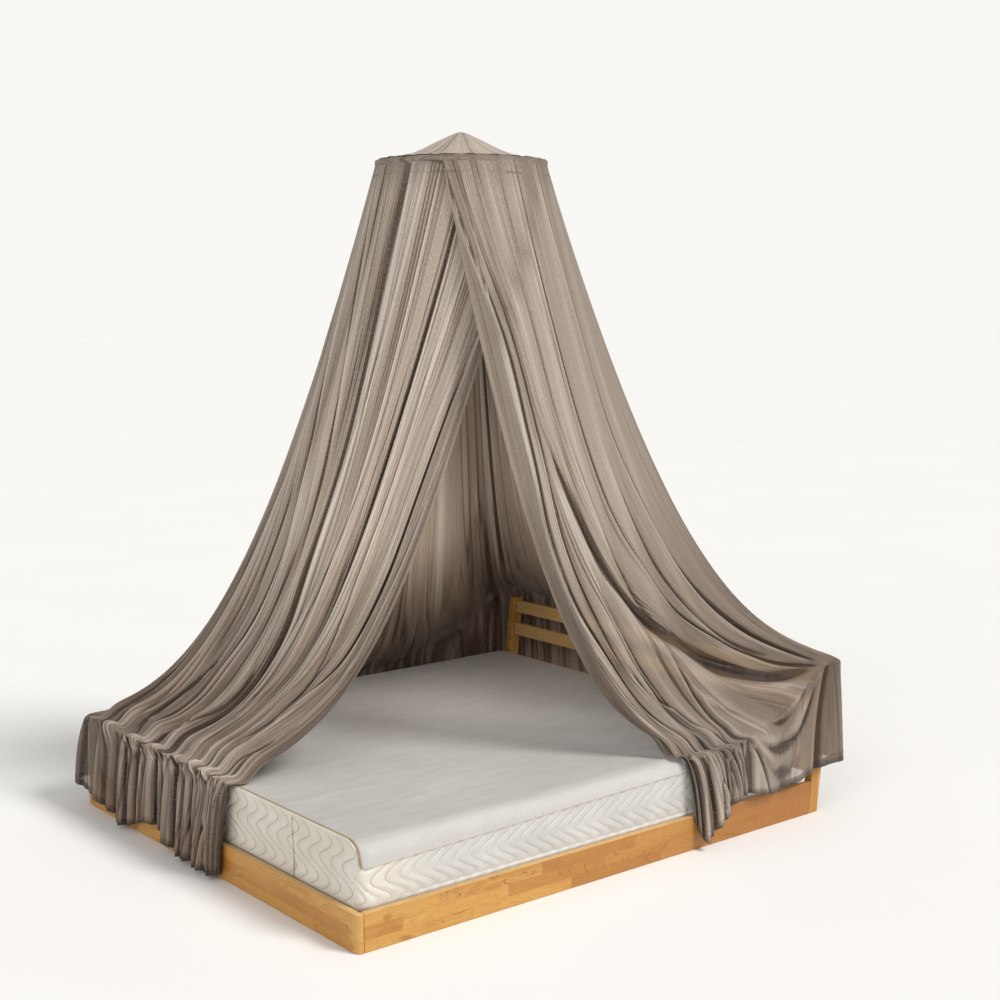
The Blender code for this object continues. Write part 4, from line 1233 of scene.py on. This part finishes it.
FOOT_STEPS, LENGTH_ROWS, FOOT_SHARE = 8, 190, 0.016  # along the bed, with closer rows in its first share


def outline_place(run):
    """Point and outward direction at a distance along the mattress's outline, and where its stretches end.

    The outline starts at the far end of the foot and runs over the near side, the head and the far side."""
    low, high = MATTRESS_LOW[:2], MATTRESS_HIGH[:2]
    radius = MATTRESS_CORNER
    bend = math.pi / 2 * radius
    plain = high - low - 2 * radius
    lengths = [plain[1], bend, plain[0], bend, plain[1], bend, plain[0], bend]
    ends = np.cumsum([0] + lengths)
    run = np.asarray(run) % ends[-1]
    side = np.clip(np.searchsorted(ends, run, side="right") - 1, 0, 7)
    along = (run - ends[side]) / np.array(lengths)[side]
    centres = np.array([[low[0] + radius, high[1] - radius], [low[0] + radius, low[1] + radius],
                        [high[0] - radius, low[1] + radius], [high[0] - radius, high[1] - radius]])
    quarter = side // 2
    turn = math.pi + quarter * math.pi / 2 + np.where(side % 2 == 1, along, 0) * math.pi / 2
    start = centres[quarter]
    other = centres[(quarter + 1) % 4]
    middle = np.where((side % 2 == 0)[..., None], start + (other - start) * along[..., None], other)
    out = np.stack([np.cos(turn), np.sin(turn)], axis=-1)
    return middle + out * radius, out, ends


def cord_places():
    """Distances along the outline at which the cords lie: closer on the long sides."""
    ends = outline_place(0.0)[2]
    places = []
    for start, end, kind in ((0, 1, CORD_FOOT), (1, 4, CORD_SIDE), (4, 5, CORD_FOOT), (5, 8, CORD_SIDE)):
        count = round((ends[end] - ends[start]) / kind[0])
        places += list(np.linspace(ends[start], ends[end], count, endpoint=False))
    return np.array(places), ends[-1]


def cord_swing(z, foot):
    """How far a quilting cord has swung along the border at a height; foot is 1 on the short sides."""
    swing, left_z, lean = (side + (short - side) * foot for side, short in zip(CORD_SIDE[1:], CORD_FOOT[1:]))
    turn = 2 * math.pi * (z - left_z) / CORD_TURN
    return lean * (left_z - z) - swing * np.cos(turn)


def seam_height(x):
    return SEAM_FOOT_Z + SEAM_RISE * (x - MATTRESS_LOW[0])


def under_knit(x, y):
    """Height to which the border may rise under the knit top, which rounds the long sides and corners."""
    from_end = np.clip(np.minimum(x - MATTRESS_LOW[0], MATTRESS_HIGH[0] - x), PANEL_IN, MATTRESS_CORNER)
    drawn_in = MATTRESS_CORNER - np.sqrt(MATTRESS_CORNER**2 - (MATTRESS_CORNER - from_end) ** 2)
    from_side = np.minimum(y - MATTRESS_LOW[1], MATTRESS_HIGH[1] - y)
    away = np.clip(SIDE_ROUND + drawn_in * 0.85 - from_side, 0, SIDE_ROUND)
    pressed = (0.0012 + 0.0030 * (1 - smooth(from_end, 0.010, 0.024))) * smooth(away, 0.0, 0.008)
    return MATTRESS_HIGH[2] - SIDE_ROUND + np.sqrt(SIDE_ROUND**2 - away**2) - pressed


def border(finish):
    """The border all round the mattress, puffed up between its cords, and drawn in under the knit top."""
    places, total = cord_places()
    run = np.linspace(0, total, BORDER_COLUMNS, endpoint=False)
    points, out, _ = outline_place(run)
    foot = (out[:, 0] ** 2)[:, None]
    low, high = MATTRESS_LOW[2], MATTRESS_HIGH[2]
    upper_round = SIDE_ROUND + (FOOT_ROUND - SIDE_ROUND) * foot
    turn = np.linspace(0, math.pi / 2, ROUND_ROWS)
    one = np.ones((BORDER_COLUMNS, 1))
    lower = one * (low + LOWER_ROUND * (1 - np.cos(turn)))
    rise = np.linspace(0, 1, UPRIGHT_ROWS + 1)[1:]
    upright = low + LOWER_ROUND + (high - upper_round - low - LOWER_ROUND) * rise
    upper = high - upper_round + upper_round * np.sin(turn[1:-1])
    heights = np.concatenate([one * [low, low], lower, upright, upper, one * (high - RIM_DOWN)], axis=1)
    inset = np.concatenate([one * UNDERSIDE_IN, one * (LOWER_ROUND * (1 - np.sin(turn))),
                            np.zeros((BORDER_COLUMNS, UPRIGHT_ROWS)), upper_round * (1 - np.cos(turn[1:-1])),
                            upper_round + RIM_IN], axis=1)
    from_end = np.minimum(points[:, :1] - MATTRESS_LOW[0], MATTRESS_HIGH[0] - points[:, :1])
    hidden = smooth(from_end, 0.006, 0.022) * smooth(heights - seam_height(points[:, :1]), 0.002, 0.010)
    inset = inset + HIDDEN_IN * hidden
    swung = (run[:, None] - cord_swing(heights, foot)) % total
    phase = np.interp(swung, [*places, total], np.arange(len(places) + 1)) % 1.0
    puff = np.sin(math.pi * phase) ** 0.7
    fade = smooth(heights, low + 0.012, low + 0.036) * (1 - smooth(heights, high - 0.020, high - 0.006))
    lift = (puff * PUFF - CORD_IN) * fade
    grid = np.zeros((*heights.shape, 3))
    grid[..., :2] = points[:, None] - out[:, None] * (inset - lift)[..., None]
    grid[..., 2] = np.minimum(heights, under_knit(grid[..., 0], grid[..., 1]))
    faces = ring_faces(*heights.shape).tolist()
    faces.append([column * heights.shape[1] for column in range(BORDER_COLUMNS)][::-1])
    return smooth_piece("mattress_border", grid, faces, finish)


CORD_LOW, CORD_HIGH = 0.022, 0.006  # how far the cords stop short of the mattress's underside and top


def border_cords(tree, finish):
    """The sewn cords that wave down the border, from the knit top's seam or the top of the foot."""
    low, high = MATTRESS_LOW[2] + CORD_LOW, MATTRESS_HIGH[2] - CORD_HIGH
    heights = np.linspace(low, high, 33)
    lines = []
    for place in cord_places()[0]:
        foot = outline_place(place)[1][0] ** 2
        points, out, _ = outline_place(place + cord_swing(heights, foot))
        foot = out[:, 0] ** 2
        edge = SIDE_ROUND + (FOOT_ROUND - SIDE_ROUND) * foot
        inset = edge - np.sqrt(edge**2 - np.maximum(heights - high - CORD_HIGH + edge, 0) ** 2)
        line = np.column_stack([points - out * (inset + CORD_RADIUS)[:, None], heights])
        shown = (foot > 0.5) | (heights < seam_height(points[:, 0]) - 0.003)
        shown &= heights < under_knit(line[:, 0], line[:, 1]) - 0.001
        ends = np.flatnonzero(np.diff(np.concatenate([[0], shown.astype(int), [0]])))
        lines += [line[a:b] for a, b in zip(ends[::2], ends[1::2]) if b - a > 1]
    return grown("border_cords", lines, tree, finish, Radius=CORD_RADIUS, Sides=6)


def border_seam(tree, finish):
    """The upright seam at the foot, where the border's ends meet."""
    heights = np.linspace(MATTRESS_LOW[2] + 0.010, MATTRESS_HIGH[2] - 0.012, 16)
    sway = 4 * MM * np.sin(heights * 26)
    line = np.column_stack([np.full(16, MATTRESS_LOW[0] - 0.0026), BORDER_SEAM_Y + sway, heights])
    return grown("border_seam", [line], tree, finish, Radius=0.0014, Sides=6)


def ripples(x, y):
    """Faint, long ripples in the slack knit."""
    low, high = MATTRESS_LOW, MATTRESS_HIGH
    total = np.zeros(x.shape)
    draw = np.random.default_rng(12)
    for _ in range(60):
        centre_x, centre_y = draw.uniform(low[0], high[0]), draw.uniform(low[1], high[1])
        lean = draw.normal(0.25, 0.35)
        along = (x - centre_x) * math.cos(lean) + (y - centre_y) * math.sin(lean)
        aside = (y - centre_y) * math.cos(lean) - (x - centre_x) * math.sin(lean)
        length, half = draw.uniform(0.10, 0.40), draw.uniform(0.008, 0.026)
        total += draw.uniform(0.0008, 0.0024) * np.exp(-((along / length) ** 2)) * bell(aside / half)
    return total


def top_panel(finish):
    """The knit top: slack, with faint ripples, wrapped down both long sides to its seam."""
    low, high = MATTRESS_LOW, MATTRESS_HIGH
    radius = SIDE_ROUND + KNIT_OUT
    near_edge = low[1] - KNIT_OUT
    turn = np.linspace(0, math.pi / 2, TURN_STEPS + 1)[1:]
    flat = np.linspace(near_edge + radius, high[1] + KNIT_OUT - radius, FLAT_ROWS + 2)[1:-1]
    # steps across the panel, counted up the near side and, mirrored, up the far side
    around = SIDE_STEPS + 1 + TURN_STEPS
    number = np.arange(2 * around + FLAT_ROWS)
    mirrored = number >= around + FLAT_ROWS
    step = np.where(mirrored, number[-1] - number, number)
    is_flat = step >= around
    # the panel stops short of the foot and the head, and by more at its side seams
    start = low[0] + PANEL_IN + KNIT_END_IN * np.clip(1 - step / around, 0, 1) ** 2
    share = np.concatenate([np.linspace(0, 1, FOOT_STEPS + 1)[:-1] ** 1.4 * FOOT_SHARE,
                            np.linspace(FOOT_SHARE, 1, LENGTH_ROWS)])
    x = start[None, :] + share[:, None] * ((high[0] - (start - low[0])) - start)[None, :]
    side_z = seam_height(x) + (high[2] - SIDE_ROUND - seam_height(x)) * np.clip(step / SIDE_STEPS, 0, 1)
    bend = np.interp(step, np.arange(SIDE_STEPS, around), [0, *turn])
    y_side = near_edge + radius * (1 - np.cos(bend))
    y = np.where(mirrored, low[1] + high[1] - y_side, y_side)
    y[is_flat & ~mirrored] = flat
    y = np.broadcast_to(y, x.shape)
    z = np.where(step <= SIDE_STEPS, side_z, high[2] - radius + radius * np.sin(bend))
    z = np.where(is_flat, high[2], z)
    # the corners of the mattress draw it in
    from_end = np.minimum(x - low[0], high[0] - x)
    over = smooth(z, high[2] - radius, high[2])
    away = np.maximum(MATTRESS_CORNER - from_end, 0)
    corner_in = MATTRESS_CORNER - np.sqrt(np.maximum(MATTRESS_CORNER**2 - away**2, 0))
    middle = (low[1] + high[1]) / 2
    near_side = np.clip(1 - (np.minimum(y - low[1], high[1] - y) - radius) / 0.06, 0, 1)
    y = y + np.sign(middle - y) * corner_in * (1 - 0.3 * over) * near_side
    z = z + (ripples(x, y) - KNIT_SLACK) * over * smooth(from_end, 0.0, 0.05)
    z = z - KNIT_END_DOWN * over * (1 - smooth(from_end, 0.004, 0.022))
    grid = np.stack([x, y, z], axis=-1)
    faces = grid_faces(*x.shape)[:, [0, 3, 2, 1]]
    return smooth_piece("mattress_top", grid, faces.tolist(), finish), grid


# ---- the roof -----------------------------------------------------------------------------------------

ROOF_EDGE = 0.955  # share of the roof's radius at which the skirt is sewn on
ROOF_COLUMNS, ROOF_RINGS, ROOF_FOLDS = 288, 44, 46
RIM_THREAD = 0.0016  # radius of the seam round its edge
ROOF_VALLEY, ROOF_COVER, ROOF_PALE = -0.18, 0.84, 1.0  # how its cloth looks: a faint painted highlight all over, how close it is, and as pale as the painted light high in the fall


def pulled(height, angle, reach):
    """The roof's height with slight folds in it, which run from its tip towards its rim."""
    lift = np.broadcast_to(height, angle.shape).copy()
    draw = np.random.default_rng(5)
    for _ in range(ROOF_FOLDS):
        middle, half = draw.uniform(0, 2 * math.pi), draw.uniform(0.014, 0.05)
        start, end = draw.uniform(0.05, 0.5), draw.uniform(0.7, 1.2)
        offset = (angle - middle + math.pi) % (2 * math.pi) - math.pi
        rise = draw.uniform(0.0006, 0.0024) * draw.choice([1, -1])
        shown = smooth(reach, start, start + 0.2) * (1 - smooth(reach, end - 0.25, end))
        lift += rise * bell(offset / half) * shown
    return lift


def roof(finish):
    """The shallow cone over the hoop: cloth that pulls into slight folds from its tip."""
    share = np.linspace(0, 1, ROOF_RINGS) ** 0.85 * ROOF_EDGE
    height = np.interp(share, *zip(*ROOF_PROFILE[::-1]))
    turn = np.linspace(0, 2 * math.pi, ROOF_COLUMNS, endpoint=False)
    angle, reach = np.meshgrid(turn, share, indexing="ij")
    lift = pulled(height, angle, reach)[:, 1:]
    angle, reach = angle[:, 1:], reach[:, 1:]
    radius = reach * ROOF_RADIUS
    base = HOOP[2] + ROOF_RIM + 0.001
    grid = np.stack([HOOP[0] + radius * np.cos(angle), HOOP[1] + radius * np.sin(angle), base + lift],
                    axis=-1)
    points = np.concatenate([grid.reshape(-1, 3), [[HOOP[0], HOOP[1], base + ROOF_PROFILE[-1][1]]]])
    tip = len(points) - 1
    columns, rings = angle.shape
    faces = ring_faces(columns, rings)[:, [0, 3, 2, 1]].tolist()
    faces += [(tip, column * rings, (column + 1) % columns * rings) for column in range(columns)]
    made = smooth_piece("net_roof", points, faces, finish)
    lay_pattern(made.data, np.append(angle * ROOF_RADIUS * 1.2, 0), np.append(radius, 0))
    for label, value in (("valley", ROOF_VALLEY), ("cover", ROOF_COVER), ("pale", ROOF_PALE)):
        write_value(made.data, label, np.full(len(points), value))
    return made


def rim_seam(tree, finish):
    """The uneven seam that joins the roof to the skirt round the hoop."""
    turn = np.linspace(0, 2 * math.pi, 241)
    sway = 0.0010 * np.sin(turn * 23) + 0.0008 * np.sin(turn * 41 + 1)
    reach = ROOF_RADIUS * ROOF_EDGE + 0.0006
    line = np.column_stack([HOOP[0] + reach * np.cos(turn), HOOP[1] + reach * np.sin(turn),
                            HOOP[2] + ROOF_RIM + 0.0024 + sway])
    return grown("rim_seam", [line], tree, finish, Radius=RIM_THREAD, Sides=6)


# ---- the scene ----------------------------------------------------------------------------------------

EYE = (-2.543, -3.783, 1.968)  # where the camera stands, in the bed's own frame
YAW, PITCH = 50.72, -7.40  # which way it looks, in degrees
FOCAL_PIXELS, PICTURE_PIXELS = 1586.3, 1000
SENSOR = 36.0  # millimetres
GLOW_AT = (1.28, 1.25, 0.88)  # the faint light in the net, in the bed's own frame
FLOOR_RADIUS = 60.0


def set_camera():
    """The view of the photograph, solved from the bed's straight edges."""
    made = bpy.data.cameras.new("camera")
    made.sensor_width = SENSOR
    made.lens = SENSOR * FOCAL_PIXELS / PICTURE_PIXELS
    seen = bpy.data.objects.new("camera", made)
    seen.location = Vector(CORNER) + Vector(EYE)
    yaw, pitch = math.radians(YAW), math.radians(PITCH)
    ahead = Vector((math.cos(pitch) * math.cos(yaw), math.cos(pitch) * math.sin(yaw), math.sin(pitch)))
    seen.rotation_euler = ahead.to_track_quat("-Z", "Y").to_euler()
    bpy.context.scene.collection.objects.link(seen)
    bpy.context.scene.camera = seen


def add_light(name, azimuth, elevation, spread, strength, colour):
    """A far, soft light: its spread is the width of sky that it fills, in degrees."""
    lamp = bpy.data.lights.new(name, "SUN")
    lamp.angle = math.radians(spread)
    lamp.energy = strength
    lamp.color = colour
    made = bpy.data.objects.new(name, lamp)
    turn, rise = math.radians(azimuth), math.radians(elevation)
    spot = Vector((math.cos(rise) * math.cos(turn), math.cos(rise) * math.sin(turn), math.sin(rise)))
    made.rotation_euler = (-spot).to_track_quat("-Z", "Y").to_euler()
    bpy.context.scene.collection.objects.link(made)


def set_light():
    """Soft studio light, in front of a white that only the camera sees at full strength."""
    world = bpy.data.worlds.new("studio")
    bpy.context.scene.world = world
    world.use_nodes = True
    tree = world.node_tree
    tree.nodes.clear()
    seen = tree.nodes.new("ShaderNodeLightPath")
    strength = tree.nodes.new("ShaderNodeMapRange")
    strength.inputs["To Min"].default_value = 0.44
    strength.inputs["To Max"].default_value = 0.946
    tree.links.new(seen.outputs["Is Camera Ray"], strength.inputs["Value"])
    sky = tree.nodes.new("ShaderNodeBackground")
    sky.inputs["Color"].default_value = (1.0, 0.990, 0.956, 1.0)
    tree.links.new(strength.outputs["Result"], sky.inputs["Strength"])
    end = tree.nodes.new("ShaderNodeOutputWorld")
    tree.links.new(sky.outputs[0], end.inputs["Surface"])
    add_light("key light", 296, 46, 20, 2.35, (1.0, 0.97, 0.93))
    add_light("fill light", 205, 30, 40, 0.80, (1.0, 0.98, 0.96))
    glow = bpy.data.lights.new("glow in the net", "POINT")
    glow.shadow_soft_size = 0.25
    glow.energy = 5.4
    glow.color = (1.0, 0.96, 0.90)
    made = bpy.data.objects.new("glow in the net", glow)
    made.location = Vector(CORNER) + Vector(GLOW_AT)
    made.visible_camera = False
    bpy.context.scene.collection.objects.link(made)
    bpy.context.scene.view_settings.view_transform = "Standard"


def set_floor(finish):
    """A plain, pale floor that reaches far past the picture."""
    mesh = bpy.data.meshes.new("floor")
    shape = bmesh.new()
    bmesh.ops.create_circle(shape, cap_ends=True, segments=96, radius=FLOOR_RADIUS)
    shape.to_mesh(mesh)
    shape.free()
    made = piece("floor", mesh, finish)


set_camera()
set_light()
set_floor(floor_finish())

net = net_finish()
left, left_lines = net_panel("net_left_panel", LEFT, net)
right, right_lines = net_panel("net_right_panel", RIGHT, net)
top = roof(net)

cord = sweep_tree()
stitches = stitch_tree()
net_thread = thread_finish("net_thread", (0.085, 0.062, 0.045), (0.160, 0.125, 0.098))
net_stitches = grown("net_stitches", left_lines + right_lines, stitches, net_thread,
                     Pitch=0.0052, Stitch=0.0036, Thread=0.0006)
dark_seam = rim_seam(cord, thread_finish("rim_thread", (0.050, 0.034, 0.024), (0.100, 0.075, 0.056)))
tan_tape = thread_finish("tan_piping", (0.300, 0.195, 0.100), (0.440, 0.315, 0.185))
seam_thread = thread_finish("seam_thread", (0.42, 0.33, 0.23), (0.56, 0.47, 0.36))
quilted = border(border_finish())
cords = border_cords(cord, cord_finish())
end_seam = border_seam(cord, tan_tape)
knit, knit_grid = top_panel(knit_finish())
piping = grown("top_piping", [knit_grid[0], knit_grid[-1]], cord, tan_tape, Radius=0.0034, Sides=8)
side_seams = grown("top_seams", [knit_grid[:, 0], knit_grid[:, -1]], cord, seam_thread,
                   Radius=0.0011, Sides=6)

FOOT_RAIL_PAINTED_SHADE = 0.40  # how much warmer the foot rail's oak is painted: painted shade, as its face is in shade
oak_axes = {"foot_rail": "y", "side_rail_near": "x", "side_rail_far": "x", "ledge_near": "x",
            "ledge_far": "x", "head_post_near": "z", "head_post_far": "z", "head_rail_top": "y",
            "head_rail_middle": "y", "head_rail_low": "y"}
for seed, (node, along) in enumerate(oak_axes.items(), start=1):
    tint = FOOT_RAIL_PAINTED_SHADE if node == "foot_rail" else 0.0
    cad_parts[node].material_slots[0].material = oak_finish("oak_" + node, along, seed, tint)
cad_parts["platform"].material_slots[0].material = plywood_finish()
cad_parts["hoop"].material_slots[0].material = hoop_finish()

dressed = [
    (left, "left_panel", "net"), (right, "right_panel", "net"), (top, "roof", "net"),
    (net_stitches, None, "net"), (dark_seam, None, "net"), (quilted, "mattress", "mattress_cloth"),
    (cords, None, "mattress_cloth"), (end_seam, None, "mattress_cloth"),
    (knit, "mattress", "mattress_cloth"), (piping, None, "mattress_cloth"),
    (side_seams, None, "mattress_cloth"),
]
for part, node, slot in dressed:
    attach(part, "root")
    if node:
        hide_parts(node)
